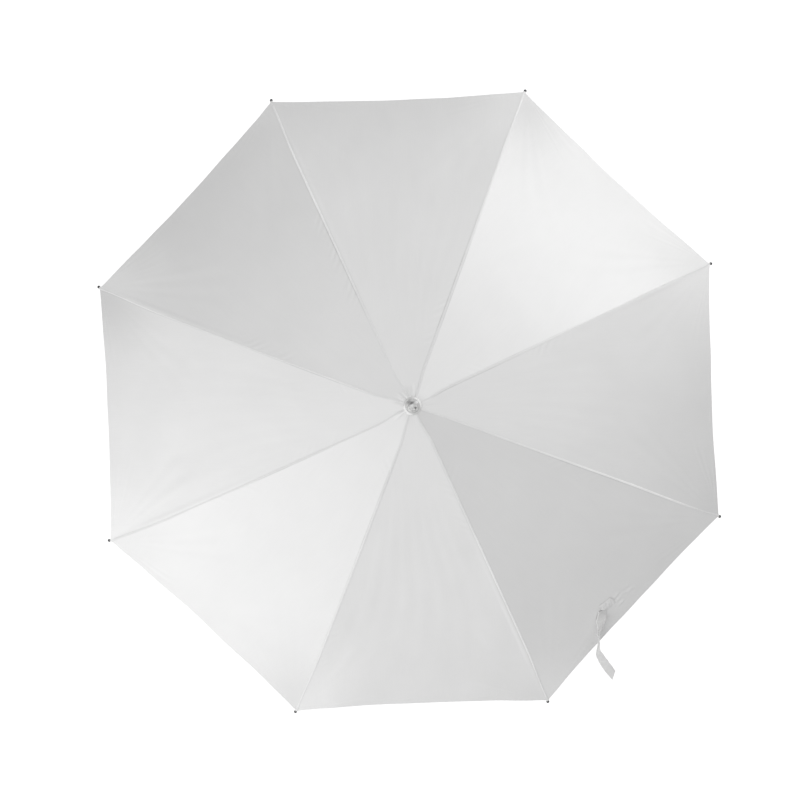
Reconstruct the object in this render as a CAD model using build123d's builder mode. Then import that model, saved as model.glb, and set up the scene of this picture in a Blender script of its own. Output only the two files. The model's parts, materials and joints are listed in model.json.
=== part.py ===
from build123d import *
import os
from math import sin, cos, tan, asin, sqrt, radians, degrees

os.makedirs("parts", exist_ok=True)

# Photographic umbrella reflector, open. +Z runs up the shaft to the apex, the
# origin is the centre of the shaft tube's lower end face. Millimetres, and
# azimuths in degrees from +X. Ribs and gores are numbered from 1.

# ---- driving dimensions ----
rib_count = 8
first_azimuth = 24.7          # azimuth of rib 1
tip_circle_r = 505.0          # shaft axis to the centre of each rib-tip bead
pivot_r = 8.0                 # radius of both hinge rings, notch and runner
notch_z = 740.0               # height of the notch hinge ring
rib_root_drop = 5.0           # rib slope at its root, degrees below level
rib_tip_drop = 45.0           # rib slope at its tip
stretcher_at = 250.0          # along the rib, from its root to the stretcher
closing_swing = 64.0          # degrees a rib's stretcher joint swings in to close

shaft_r = 4.0
shaft_wall = 0.6
shaft_top = notch_z + 11.0

# hinges
wire_r = 0.5                  # hinge ring wire
eye_hole_r = 0.6
eye_r = 1.6
tab_t = 1.2                   # flat tabs that end in the hinge eyes
tab_h = 2.4
hub_r = 11.0
sleeve_r = 6.4
hub_bore_r = shaft_r + 0.06
cap_bore_r = shaft_r + 0.03   # bore of the collar and the ferrule

# pins
pin_r = 0.9                   # notch pin and stop pins
pin_play = 0.02
rivet_r = 1.0

# cloth
rib_out = 1.6                 # rib channel's back, outside the bow line
cloth_gap = 0.95              # cloth stands this far off the rib's back
cloth_t = 0.5
cloth_lie = rib_out + cloth_gap       # cloth's underside above the bow line
crown_z = notch_z + 3.4               # cloth's underside over the notch
cloth_top = crown_z + cloth_t

rib_numbers = range(1, rib_count + 1)
rib_step = 360.0 / rib_count
half_step = rib_step / 2.0
cos_half = cos(radians(half_step))
sin_half = sin(radians(half_step))


def rib_azimuth(number):
    return first_azimuth + (number - 1) * rib_step


def gore_azimuth(number):
    """Azimuth of a gore's middle line; gore n lies between ribs n and n + 1."""
    return rib_azimuth(number) + half_step


# ---- rib bow: a circular arc in the plane of one rib, x radial, z up ----
root_angle = radians(rib_root_drop)
arc_r = (tip_circle_r - pivot_r) / (sin(radians(rib_tip_drop)) - sin(root_angle))
arc_x = pivot_r - arc_r * sin(root_angle)
arc_z = notch_z - arc_r * cos(root_angle)


def arc_point(angle, off=0.0):
    """(radius, height) on the arc where it slopes down by angle, off outside it."""
    return arc_x + (arc_r + off) * sin(angle), arc_z + (arc_r + off) * cos(angle)


def angle_along(length):
    """Slope angle at a length along the bow from its root."""
    return root_angle + length / arc_r


def angle_at_radius(x):
    """Slope angle of the bow at radius x."""
    return asin((x - arc_x) / arc_r)


# ---- linkage: rib root, joint and runner form an isosceles triangle ----
joint_x, joint_z = arc_point(angle_along(stretcher_at))
stretcher_len = sqrt((joint_x - pivot_r) ** 2 + (notch_z - joint_z) ** 2)
runner_z = notch_z - 2 * (notch_z - joint_z)      # height of the runner's hinge ring
open_angle = asin((joint_x - pivot_r) / stretcher_len)
closed_angle = open_angle - radians(closing_swing)
runner_closed_z = notch_z - 2 * stretcher_len * cos(closed_angle)
runner_drop = 27.0                                # runner's hinge ring to its lower end

# catch
catch_play = 0.6                                  # between runner and catch
catch_z = runner_z - runner_drop - catch_play     # the catch's shoulder
catch_pin_x = 1.2
catch_pin_z = catch_z - 26.0
catch_pin_r = 0.75

# cross pins
notch_pin_z = notch_z - 15.0
stop_z = runner_z + 6.5                           # above the open runner
low_stop_z = runner_closed_z - runner_drop - 1.6  # below the closed runner


# ---- directions and work planes ----
def at(azimuth, radius, z):
    a = radians(azimuth)
    return (radius * cos(a), radius * sin(a), z)


def tangent(azimuth):
    a = radians(azimuth)
    return (-sin(a), cos(a), 0.0)


def side_plane(azimuth):
    """The plane through the shaft and one azimuth: local x radial, local y up."""
    a = radians(azimuth)
    return Plane(origin=(0, 0, 0), x_dir=(cos(a), sin(a), 0), z_dir=(sin(a), -cos(a), 0))


def bow_plane(azimuth, length):
    """Across the rib: local x sideways, local y away from the bow's centre."""
    angle = angle_along(length)
    return Plane(origin=at(azimuth, *arc_point(angle)), x_dir=tangent(azimuth),
                 z_dir=at(azimuth, cos(angle), -sin(angle)))


def bow_axis(azimuth):
    return Axis(at(azimuth, arc_x, arc_z), tangent(azimuth))


def stretcher_plane(azimuth, distance):
    """Across the stretcher, distance from its rivet: local x sideways, y to its web side."""
    along_x = (pivot_r - joint_x) / stretcher_len
    along_z = (runner_z - joint_z) / stretcher_len
    return Plane(
        origin=at(azimuth, joint_x + distance * along_x, joint_z + distance * along_z),
        x_dir=tangent(azimuth), z_dir=at(azimuth, along_x, along_z),
    )


# normal to the cross pins, which point to the middle of gore 1
pin_plane = side_plane(gore_azimuth(1) + 90)


def save(part, label):
    part.label = label
    export_step(part, "parts/" + label + ".step")


# ---- shapes used more than once ----
def turned(profile):
    """A solid of revolution about the shaft axis from (radius, z) points."""
    with BuildPart() as body:
        with BuildSketch(Plane.XZ):
            with BuildLine():
                Polyline(*profile, close=True)
            make_face()
        revolve(axis=Axis.Z)
    return body.part


def hinge_wire(ring_z):
    with BuildPart() as wire:
        with BuildSketch(Plane.XZ):
            with Locations((pivot_r, ring_z)):
                Circle(wire_r)
        revolve(axis=Axis.Z)
    return wire.part


def cross_pins(half_length, *heights):
    """One pin through the shaft at each height."""
    with BuildPart() as pins:
        with BuildSketch(pin_plane):
            with Locations(*[(0, z) for z in heights]):
                Circle(pin_r)
        extrude(amount=half_length, both=True)
    return pins.part


def hinge_hub(ring_z, profile, slot_from, slot_to, pin_z=None):
    """A hub with one slot per rib and a groove for the hinge wire.

    Profile points are (radius, height above the hinge ring); the slot's ends are
    heights above the ring too. pin_z adds a cross hole.
    """
    slot_w, slot_root_r, slot_depth = 1.8, 6.2, 8.0
    groove_root_r, groove_depth, groove_h = 7.35, 5.0, 1.3
    with BuildPart() as hub:
        with BuildSketch(Plane.XZ):
            with BuildLine():
                Polyline(*[(r, ring_z + h) for r, h in profile], close=True)
            make_face()
        revolve(axis=Axis.Z)
        for number in rib_numbers:
            with BuildSketch(side_plane(rib_azimuth(number))):
                with Locations((slot_root_r + slot_depth / 2,
                                ring_z + (slot_from + slot_to) / 2)):
                    Rectangle(slot_depth, slot_to - slot_from)
            extrude(amount=slot_w / 2, both=True, mode=Mode.SUBTRACT)
        # groove that the hinge wire lies in
        with BuildSketch(Plane.XZ):
            with Locations((groove_root_r + groove_depth / 2, ring_z)):
                Rectangle(groove_depth, groove_h)
        revolve(axis=Axis.Z, mode=Mode.SUBTRACT)
        if pin_z is not None:
            with BuildSketch(pin_plane):
                with Locations((0, pin_z)):
                    Circle(pin_r + pin_play)
            extrude(amount=9.0, both=True, mode=Mode.SUBTRACT)
    return hub.part


# ---- shaft: a steel tube with a window for the catch and cross holes ----
def build_shaft():
    groove_z, groove_w, groove_depth = 200.0, 3.0, 0.25
    window_w, window_h, window_depth = 2.4, 21.5, 4.0
    window_top = catch_z + 1.0
    cut_reach = 6.0                               # clears the tube on both sides
    with BuildPart() as shaft:
        with BuildSketch(Plane.XY):
            Circle(shaft_r)
            Circle(shaft_r - shaft_wall, mode=Mode.SUBTRACT)
        extrude(amount=shaft_top)
        # rolled groove under the lower stop, at the end of the clamping length
        with BuildSketch(Plane.XZ):
            with Locations((shaft_r, groove_z + groove_w / 2)):
                Rectangle(2 * groove_depth, groove_w)
        revolve(axis=Axis.Z, mode=Mode.SUBTRACT)
        # window for the catch, through the wall on the +X side
        with BuildSketch(Plane.XZ):
            with Locations((shaft_r, window_top - window_h / 2)):
                Rectangle(window_depth, window_h)
        extrude(amount=window_w / 2, both=True, mode=Mode.SUBTRACT)
        # cross holes for the notch pin, the two stop pins and the catch's pin
        with BuildSketch(pin_plane):
            with Locations((0, notch_pin_z), (0, stop_z), (0, low_stop_z)):
                Circle(pin_r + pin_play)
        extrude(amount=cut_reach, both=True, mode=Mode.SUBTRACT)
        with BuildSketch(Plane.XZ):
            with Locations((catch_pin_x, catch_pin_z)):
                Circle(catch_pin_r + pin_play)
        extrude(amount=cut_reach, both=True, mode=Mode.SUBTRACT)
    return shaft.part


save(build_shaft(), "shaft")

# ---- end plug: pressed into the tube's lower end, no wider than the tube ----
save(turned([
    (0, -2.4), (2.9, -2.4), (3.75, -1.6), (3.95, -0.9), (3.95, -0.02),
    (3.36, -0.02), (3.36, 10.6), (2.9, 12.0), (0, 12.0),
]), "end_plug")

# ---- top notch: the slotted hub that the ribs hinge on ----
notch_profile = [
    (hub_bore_r, -22), (sleeve_r - 0.6, -22), (sleeve_r, -21.4), (sleeve_r, -7.5),
    (hub_r - 0.8, -5), (hub_r, -4.2), (hub_r, 2.2), (hub_r - 0.9, 3.0), (hub_bore_r, 3.0),
]
save(hinge_hub(notch_z, notch_profile, slot_from=-8.0, slot_to=1.9, pin_z=notch_pin_z),
     "top_notch")
save(hinge_wire(notch_z), "notch_wire")
save(cross_pins(sleeve_r - 0.1, notch_pin_z), "notch_pin")

# ---- two identical stop pins: above the open runner, below the closed one ----
save(cross_pins(5.7, stop_z, low_stop_z), "stop_pins")

# ---- runner: slides on the shaft and carries the stretchers ----
runner_profile = [
    (hub_bore_r, -runner_drop), (8.4, -runner_drop), (8.8, 0.5 - runner_drop),
    (8.8, 2.0 - runner_drop), (8.2, 2.8 - runner_drop), (sleeve_r, 4.2 - runner_drop),
    (sleeve_r, -6.6), (hub_r - 0.8, -4), (hub_r, -3.2), (hub_r, 4.2),
    (hub_r - 0.8, 5.0), (hub_bore_r, 5.0),
]
save(hinge_hub(runner_z, runner_profile, slot_from=-2.0, slot_to=8.0), "runner")
save(hinge_wire(runner_z), "runner_wire")


# ---- catch: a spring-steel plate in the tube whose nose holds the runner up ----
def build_top_spring():
    plate_t = 1.6
    boss_r = 1.75
    heel_z = catch_pin_z + 0.3
    with BuildPart() as top_spring:
        with BuildSketch(Plane.XZ):
            with BuildLine():
                Polyline(
                    (1.0, catch_z), (6.6, catch_z - 0.5), (6.6, catch_z - 2.0),
                    (3.0, catch_z - 18.5), (2.9, heel_z), (-0.5, heel_z), close=True,
                )
            make_face()
            with Locations((catch_pin_x, catch_pin_z)):
                Circle(boss_r)
                Circle(catch_pin_r + 2 * pin_play, mode=Mode.SUBTRACT)
        extrude(amount=plate_t / 2, both=True)
    return top_spring.part


def build_top_spring_pin():
    pin_length = 6.9
    with BuildPart() as top_spring_pin:
        with BuildSketch(Plane.XZ):
            with Locations((catch_pin_x, catch_pin_z)):
                Circle(catch_pin_r)
        extrude(amount=pin_length / 2, both=True)
    return top_spring_pin.part


save(build_top_spring(), "top_spring")
save(build_top_spring_pin(), "top_spring_pin")

# ---- apex: collar over the cloth, then the domed ferrule on the shaft's end ----
save(turned([
    (cap_bore_r, cloth_top + 0.3), (12.3, cloth_top + 0.3), (13.0, cloth_top + 0.9),
    (12.9, cloth_top + 1.7), (12.1, cloth_top + 2.4), (10.8, cloth_top + 2.7),
    (cap_bore_r, cloth_top + 2.7),
]), "ferrule_collar")


def build_ferrule():
    base_z = cloth_top + 2.75
    rim = (10.3, base_z + 1.6)
    peak = (0, base_z + 8.5)
    socket_end = (0, shaft_top + 0.3)
    with BuildPart() as ferrule:
        with BuildSketch(Plane.XZ):
            with BuildLine():
                Polyline(socket_end, (cap_bore_r, socket_end[1]), (cap_bore_r, base_z),
                         (9.9, base_z), (10.3, base_z + 0.5), rim)
                Spline(rim, (8.6, base_z + 5.2), (4.8, base_z + 7.7), peak,
                       tangents=((0, 1), (-1, 0)))
                Line(peak, socket_end)
            make_face()
        revolve(axis=Axis.Z)
    return ferrule.part


save(build_ferrule(), "ferrule")

# ---- ribs, their tips, stretchers and rivets ----
channel_to = 551.0                                # outer end of the rib channel
hole_reach = 4.0                                  # half length of the eye and rivet cuts


def build_rib(azimuth):
    width, wall = 3.0, 0.5
    lips = -1.3                                   # channel lips, inside the bow line
    channel_from = 9.0
    root_length = 18.0                            # flattened root, overlaps the channel
    height = rib_out - lips
    middle = (lips + rib_out) / 2
    with BuildPart() as rib:
        # U channel, open towards the inside of the bow
        with BuildSketch(bow_plane(azimuth, channel_from)):
            with Locations((0, middle)):
                Rectangle(width, height)
            with Locations((0, middle - wall)):
                Rectangle(width - 2 * wall, height, mode=Mode.SUBTRACT)
        revolve(axis=bow_axis(azimuth),
                revolution_arc=degrees((channel_to - channel_from) / arc_r))
        # flattened root that runs into the channel
        with BuildSketch(bow_plane(azimuth, 0)):
            Rectangle(tab_t, tab_h)
        revolve(axis=bow_axis(azimuth), revolution_arc=degrees(root_length / arc_r))
        with BuildSketch(side_plane(azimuth)):
            with Locations((pivot_r, notch_z)):
                Circle(eye_r)
        extrude(amount=tab_t / 2, both=True)
        # hinge eye and rivet hole
        with BuildSketch(side_plane(azimuth)):
            with Locations((pivot_r, notch_z)):
                Circle(eye_hole_r)
            with Locations((joint_x, joint_z)):
                Circle(rivet_r + 0.05)
        extrude(amount=hole_reach, both=True, mode=Mode.SUBTRACT)
    return rib.part


def build_rib_tip(azimuth):
    """Bead on a neck, its shank held in the end of the channel."""
    bead_r, neck_r, shank_r, flange_r = 2.25, 1.15, 0.9, 1.8
    bead_x = 8.7                                  # channel end to bead centre
    shank_end = -11.0
    neck_end = bead_x - sqrt(bead_r ** 2 - neck_r ** 2)
    end = bow_plane(azimuth, channel_to)
    # local x runs on along the rib, local y is the tip's radius
    tip_plane = Plane(origin=end.origin, x_dir=end.z_dir, z_dir=side_plane(azimuth).z_dir)
    with BuildPart() as rib_tip:
        with BuildSketch(tip_plane):
            with BuildLine():
                Polyline(
                    (bead_x + bead_r, 0), (shank_end, 0), (shank_end, shank_r - 0.2),
                    (shank_end + 0.2, shank_r), (0.2, shank_r), (0.2, flange_r),
                    (1.3, flange_r), (1.6, neck_r), (neck_end, neck_r),
                )
                ThreePointArc((neck_end, neck_r), (bead_x, bead_r), (bead_x + bead_r, 0))
            make_face()
        revolve(axis=Axis(end.origin, end.z_dir))
    return rib_tip.part


def build_stretcher(azimuth):
    width, height = 4.7, 3.2
    gap, web = 3.3, 0.7
    fork_from, fork_length, fork_cut_h = -4.0, 16.0, 8.0
    crimp_from = stretcher_len - 18.0
    crimp_length, tab_length = 8.0, 10.0
    with BuildPart() as stretcher:
        # channel, open on one side so that the rib nests into it
        with BuildSketch(stretcher_plane(azimuth, 0)):
            Rectangle(width, height)
            with Locations((0, web)):
                Rectangle(gap, height, mode=Mode.SUBTRACT)
        extrude(amount=crimp_from)
        with BuildSketch(side_plane(azimuth)):
            with Locations((joint_x, joint_z)):
                Circle(1.8)
        extrude(amount=width / 2, both=True)
        # fork that straddles the rib
        with BuildSketch(stretcher_plane(azimuth, fork_from)):
            Rectangle(gap, fork_cut_h)
        extrude(amount=fork_length, mode=Mode.SUBTRACT)
        # crimp from the channel down to a flat tab
        with BuildSketch(stretcher_plane(azimuth, crimp_from)):
            Rectangle(width, height)
        with BuildSketch(stretcher_plane(azimuth, crimp_from + crimp_length)):
            Rectangle(tab_t, tab_h)
        loft(ruled=True)
        with BuildSketch(stretcher_plane(azimuth, crimp_from + crimp_length)):
            Rectangle(tab_t, tab_h)
        extrude(amount=tab_length)
        with BuildSketch(side_plane(azimuth)):
            with Locations((pivot_r, runner_z)):
                Circle(eye_r)
        extrude(amount=tab_t / 2, both=True)
        # hinge eye and rivet hole
        with BuildSketch(side_plane(azimuth)):
            with Locations((pivot_r, runner_z)):
                Circle(eye_hole_r)
            with Locations((joint_x, joint_z)):
                Circle(rivet_r + 0.02)
        extrude(amount=hole_reach, both=True, mode=Mode.SUBTRACT)
    return stretcher.part


# (distance along the rivet from its middle, radius)
rivet_profile = [
    (-3.1, 0), (-3.1, 0.9), (-2.85, 1.5), (-2.4, 1.7), (-2.4, rivet_r),
    (2.4, rivet_r), (2.4, 1.7), (2.85, 1.5), (3.1, 0.9), (3.1, 0),
]


def build_rib_rivet(azimuth):
    plane = Plane(origin=at(azimuth, joint_x, joint_z), x_dir=tangent(azimuth),
                  z_dir=at(azimuth, 1, 0))
    with BuildPart() as rib_rivet:
        with BuildSketch(plane):
            with BuildLine():
                Polyline(*rivet_profile, close=True)
            make_face()
        revolve(axis=Axis(plane.origin, plane.x_dir))
    return rib_rivet.part


for number in rib_numbers:
    azimuth = rib_azimuth(number)
    save(build_rib(azimuth), f"rib_{number}")
    save(build_rib_tip(azimuth), f"rib_tip_{number}")
    save(build_stretcher(azimuth), f"stretcher_{number}")
    save(build_rib_rivet(azimuth), f"rib_rivet_{number}")

# ---- canopy: each gore is taut from rib to rib and bowed like the ribs ----
seam_gap = 0.15               # half of the gap between two gores
rim_sag = 4.0                 # how far the hem curves in between two ribs
hem_clip = 3.0                # hem's ends to the line between bead centres, in plan
crown_x = 10.0                # the cloth is flat out to here
crown_slope = -0.06           # its slope just outside the flat
spread_x = 42.0               # from here outwards the cloth follows the bow
spread_angle = angle_at_radius(spread_x)
spread_end_x, spread_end_z = arc_point(spread_angle, cloth_lie)

# bow radii at which the gore's section is worked out
gore_stations = [
    4.7, 10.0, 15.0, 20.0, 26.0, 32.0, 38.0, 44.0,
    60.0, 90.0, 130.0, 180.0, 230.0, 280.0, 330.0, 380.0, 430.0, 475.0, 501.5,
]


def cloth(x, above=0.0):
    """(radius, height) over a rib at bow radius x, above the cloth's underside."""
    if x >= spread_x:
        return arc_point(angle_at_radius(x), cloth_lie + above)
    radius = x * spread_end_x / spread_x
    if radius <= crown_x:
        return radius, crown_z + above
    # cubic Hermite blend from the flat crown to the bow
    span = spread_end_x - crown_x
    u = (radius - crown_x) / span
    end_slope = -tan(spread_angle)
    z = ((2 * u ** 3 - 3 * u ** 2 + 1) * crown_z
         + (u ** 3 - 2 * u ** 2 + u) * span * crown_slope
         + (3 * u ** 2 - 2 * u ** 3) * spread_end_z
         + (u ** 3 - u ** 2) * span * end_slope)
    slope = ((6 * u ** 2 - 6 * u) * crown_z
             + (3 * u ** 2 - 4 * u + 1) * span * crown_slope
             + (6 * u - 6 * u ** 2) * spread_end_z
             + (3 * u ** 2 - 2 * u) * span * end_slope) / span
    normal_len = sqrt(1 + slope * slope)
    return radius - above * slope / normal_len, z + above / normal_len


def gore_section(above):
    """Points of the cloth down a gore's middle line."""
    return [(x * cos_half, z) for x, z in (cloth(s, above) for s in gore_stations)]


def build_canopy_panel(middle):
    under = gore_section(0.0)
    over = gore_section(cloth_t)
    # wedge between the two seams, longer than the gore
    corner = seam_gap / sin_half
    wedge_x = 560.0
    wedge_y = (wedge_x - corner) * tan(radians(half_step))
    # hem arc; its plane's local y points in to the shaft
    hem_x = tip_circle_r * sin_half
    hem_y = hem_clip - tip_circle_r * cos_half
    hem_margin_x, hem_margin_y = 20.0, 30.0
    with BuildPart() as panel:
        # every level line of a gore is straight, from rib to rib
        with BuildSketch(side_plane(middle)):
            with BuildLine():
                Spline(*under)
                Line(under[-1], over[-1])
                Spline(*over)
                Line(over[0], under[0])
            make_face()
        extrude(amount=230.0, both=True)
        # cut along the two seams
        with BuildSketch(Plane(origin=(0, 0, 0), x_dir=at(middle, 1, 0), z_dir=(0, 0, 1))):
            Polygon((corner, 0), (wedge_x, wedge_y), (wedge_x, -wedge_y), align=None)
        extrude(amount=800, mode=Mode.INTERSECT)
        # curved hem
        with BuildSketch(Plane(origin=(0, 0, notch_z - 300), x_dir=tangent(middle),
                               z_dir=(0, 0, 1))):
            with BuildLine():
                ThreePointArc((-hem_x, hem_y), (0, hem_y + rim_sag), (hem_x, hem_y))
                Polyline(
                    (hem_x, hem_y), (hem_x + hem_margin_x, hem_y),
                    (hem_x + hem_margin_x, hem_y - hem_margin_y),
                    (-hem_x - hem_margin_x, hem_y - hem_margin_y),
                    (-hem_x - hem_margin_x, hem_y), (-hem_x, hem_y),
                )
            make_face()
        extrude(amount=400, mode=Mode.SUBTRACT)
    return panel.part


for number in rib_numbers:
    save(build_canopy_panel(gore_azimuth(number)), f"canopy_panel_{number}")

# ---- tie strap, on the outside of gore 7 ----
strap_w = 16.0
strap_t = 0.9
strap_azimuth = gore_azimuth(7)
out_x, out_y, _ = at(strap_azimuth, 1, 0)         # outwards along the gore's middle


def gore_bow_radius(x, y):
    """Bow radius of the level line of gore 7 that passes over a point."""
    return (x * out_x + y * out_y) / cos_half


def gore_height(x, y, off=0.0):
    """Height over a point of gore 7's outer face, its arc grown by off."""
    outer_r = arc_r + cloth_lie + cloth_t + off
    return arc_z + sqrt(outer_r ** 2 - (gore_bow_radius(x, y) - arc_x) ** 2)


# centreline of the strap: it starts standing on edge, then turns flat past the hem
strap_rise = 11.6                                 # centreline above the gore
strap_on_gore = [(289.0, -322.0), (287.4, -331.0), (286.7, -341.0), (287.0, -356.0)]
hem_height = gore_height(287.0, -366.0)
# x, y, height above hem_height
strap_past_hem = [
    (287.6, -370.0, 9.0), (291.0, -383.0, -3.0), (299.5, -399.0, -18.0), (311.8, -418.3, -38.0),
]
strap_path = (
    [Vector(x, y, gore_height(x, y) + strap_rise) for x, y in strap_on_gore]
    + [Vector(x, y, hem_height + rise) for x, y, rise in strap_past_hem]
)
# direction of the strap's width at each point of the path
strap_width_dirs = [Vector(*direction) for direction in [
    (0.0, 0.0, 1.0), (0.0, 0.0, 1.0), (0.0, 0.0, 1.0), (0.0, 0.0, 1.0), (0.05, 0.12, 1.0),
    (0.30, 0.62, 0.75), (0.42, 0.86, 0.05), (0.30, 0.90, -0.45),
]]


def through(points, u):
    """A Catmull-Rom curve through the points, u counted in points."""
    i = min(int(u), len(points) - 2)
    f = u - i
    p1, p2 = points[i], points[i + 1]
    p0, p3 = points[max(i - 1, 0)], points[min(i + 2, len(points) - 1)]
    return (p1 * 2 + (p2 - p0) * f
            + (p0 * 2 - p1 * 5 + p2 * 4 - p3) * f ** 2
            + (p1 * 3 - p0 - p2 * 3 + p3) * f ** 3) * 0.5


def build_tie_strap():
    stations = 29
    last = len(strap_path) - 1
    nudge = 0.05                                  # either side, to find the direction
    with BuildPart() as tie_strap:
        for i in range(stations):
            u = i * last / (stations - 1)
            before = through(strap_path, max(u - nudge, 0))
            after = through(strap_path, min(u + nudge, last))
            along = (after - before).normalized()
            across = through(strap_width_dirs, u)
            across = (across - along * across.dot(along)).normalized()
            with BuildSketch(Plane(origin=through(strap_path, u), x_dir=across, z_dir=along)):
                Rectangle(strap_w, strap_t)
        loft(ruled=True)
    return tie_strap.part


save(build_tie_strap(), "tie_strap")


# ---- patch: a folded piece of cloth on gore 7, beside the strap's upper end ----
def build_strap_patch():
    length, width, thickness, corner_r = 24.0, 11.0, 1.0, 1.2
    inset = 3.0                                   # moved in towards the shaft
    x = 305.0 - inset * out_x
    y = -308.5 - inset * out_y
    slope = angle_at_radius(gore_bow_radius(x, y))
    # normal to the gore there
    normal = (out_x * sin(slope), out_y * sin(slope), cos_half * cos(slope))
    with BuildPart() as strap_patch:
        with BuildSketch(Plane(origin=(x, y, gore_height(x, y, off=0.4)),
                               x_dir=tangent(strap_azimuth), z_dir=normal)):
            RectangleRounded(length, width, corner_r)
        extrude(amount=thickness)
    return strap_patch.part


save(build_strap_patch(), "strap_patch")
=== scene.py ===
"""White satin canopy, strap and finishes of an open eight-rib reflector umbrella.

The shaft stands on the Z axis with the apex up. Ribs 1 to 8 run anticlockwise seen from above,
and gore k spans rib k to the next. Shapes are in mm, scaled at the mesh; materials, lights and
camera are in metres. "Nominal radius" is the distance from the axis measured on the rib's curve.
"""
import json
import math
import bpy
import numpy as np
from mathutils import Matrix, Vector
from numpy import cos, exp, sin

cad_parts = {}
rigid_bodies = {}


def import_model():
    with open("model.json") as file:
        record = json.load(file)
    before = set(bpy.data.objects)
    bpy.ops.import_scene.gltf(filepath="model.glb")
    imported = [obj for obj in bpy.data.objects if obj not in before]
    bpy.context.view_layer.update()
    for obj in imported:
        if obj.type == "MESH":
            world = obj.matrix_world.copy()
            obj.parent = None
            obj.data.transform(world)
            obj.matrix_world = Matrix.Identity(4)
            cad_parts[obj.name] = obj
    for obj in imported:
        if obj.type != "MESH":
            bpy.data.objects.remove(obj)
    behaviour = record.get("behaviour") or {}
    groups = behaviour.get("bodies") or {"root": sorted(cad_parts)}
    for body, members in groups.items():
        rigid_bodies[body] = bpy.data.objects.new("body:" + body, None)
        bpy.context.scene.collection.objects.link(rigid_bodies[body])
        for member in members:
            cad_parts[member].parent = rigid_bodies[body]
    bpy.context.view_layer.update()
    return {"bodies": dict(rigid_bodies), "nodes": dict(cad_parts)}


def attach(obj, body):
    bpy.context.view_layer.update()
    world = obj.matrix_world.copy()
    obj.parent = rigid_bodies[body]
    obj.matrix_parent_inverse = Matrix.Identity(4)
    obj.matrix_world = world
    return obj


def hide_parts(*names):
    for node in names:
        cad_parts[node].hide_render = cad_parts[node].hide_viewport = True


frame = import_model()
nodes, bodies = frame["nodes"], frame["bodies"]

MM = 0.001
RIBS = 8
FIRST_RIB, RIB_STEP = 24.7, 360.0 / RIBS    # degrees
STEP, HALF_STEP = math.radians(RIB_STEP), math.radians(RIB_STEP / 2)
COS_HALF, SIN_HALF = math.cos(HALF_STEP), math.sin(HALF_STEP)

# ---- the bow of a rib, an arc in the plane of its radius, and the cloth that lies on it ----
TIP_R, PIVOT_R, NOTCH_Z = 505.0, 8.0, 740.0
ROOT_SLOPE, TIP_SLOPE = math.radians(5), math.radians(45)
ARC_R = (TIP_R - PIVOT_R) / (math.sin(TIP_SLOPE) - math.sin(ROOT_SLOPE))
ARC_X = PIVOT_R - ARC_R * math.sin(ROOT_SLOPE)
ARC_Z = NOTCH_Z - ARC_R * math.cos(ROOT_SLOPE)
LIE = 2.55                            # cloth's underside above the rib's curve
CLOTH_T = 0.5
OUTER_R = ARC_R + LIE + CLOTH_T
CROWN_X, CROWN_RISE, CROWN_GRADE = 10.0, 3.4, -0.06    # where the cloth leaves the apex
SPREAD_X = 42.0                       # from here out the cloth follows the rib
RIM_MID, RIM_HALF = TIP_R * COS_HALF, TIP_R * SIN_HALF
HEM_CLIP, RIM_SAG = 2.6, 1.8          # hem inside the chord between tips, and its inward bow
HEM_STITCH = 7.4                      # hem stitches from the edge
GORE_SAG = 3.2


def rise(start, end, x):
    """Smooth step from 0 at start to 1 at end."""
    part = np.clip((np.asarray(x, float) - start) / (end - start), 0, 1)
    return part * part * (3 - 2 * part)


def fall(start, end, x):
    return 1 - rise(start, end, x)


def band(start, full, fade, end, x):
    """Rises from start to full, falls from fade to end."""
    return rise(start, full, x) * fall(fade, end, x)


def hump(x, centre, width):
    return exp(-((x - centre) / width) ** 2)


def rib_turn(rib):
    return math.radians(FIRST_RIB + RIB_STEP * ((rib - 1) % RIBS))


def mid_turn(gore):
    return rib_turn(gore) + HALF_STEP


def slope(x):
    """Angle of the rib below level at nominal radius x."""
    return np.arcsin(np.clip((np.asarray(x, float) - ARC_X) / ARC_R, -1, 1))


def arc_length(x):
    return ARC_R * (slope(x) - ROOT_SLOPE)


def chord(x):
    return 2 * x * SIN_HALF


def nominal(radius):
    """Nominal radius of a point on the cloth's outer face."""
    return ARC_X + (radius - ARC_X) * ARC_R / OUTER_R


def over_rib(x):
    """Radius and height of the cloth's outer face over a rib."""
    x = np.asarray(x, float)
    angle = slope(x)
    # a cubic from the crown to the start of the arc
    end_slope = math.asin((SPREAD_X - ARC_X) / ARC_R)
    end_x = ARC_X + (ARC_R + LIE) * math.sin(end_slope)
    end_z = ARC_Z + (ARC_R + LIE) * math.cos(end_slope)
    start_z, end_grade = NOTCH_Z + CROWN_RISE, -math.tan(end_slope)
    near_x = x * end_x / SPREAD_X
    width = end_x - CROWN_X
    part = np.clip((near_x - CROWN_X) / width, 0, 1)
    near_z = ((2 * part ** 3 - 3 * part ** 2 + 1) * start_z
              + (part ** 3 - 2 * part ** 2 + part) * width * CROWN_GRADE
              + (3 * part ** 2 - 2 * part ** 3) * end_z
              + (part ** 3 - part ** 2) * width * end_grade)
    grade = ((6 * part ** 2 - 6 * part) * start_z
             + (3 * part ** 2 - 4 * part + 1) * width * CROWN_GRADE
             + (6 * part - 6 * part ** 2) * end_z
             + (3 * part ** 2 - 2 * part) * width * end_grade) / width
    grade = np.where(near_x <= CROWN_X, 0.0, grade)
    length = np.sqrt(1 + grade * grade)
    far = x >= SPREAD_X
    return (np.where(far, ARC_X + OUTER_R * sin(angle), near_x - CLOTH_T * grade / length),
            np.where(far, ARC_Z + OUTER_R * cos(angle), near_z + CLOTH_T / length))


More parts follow.
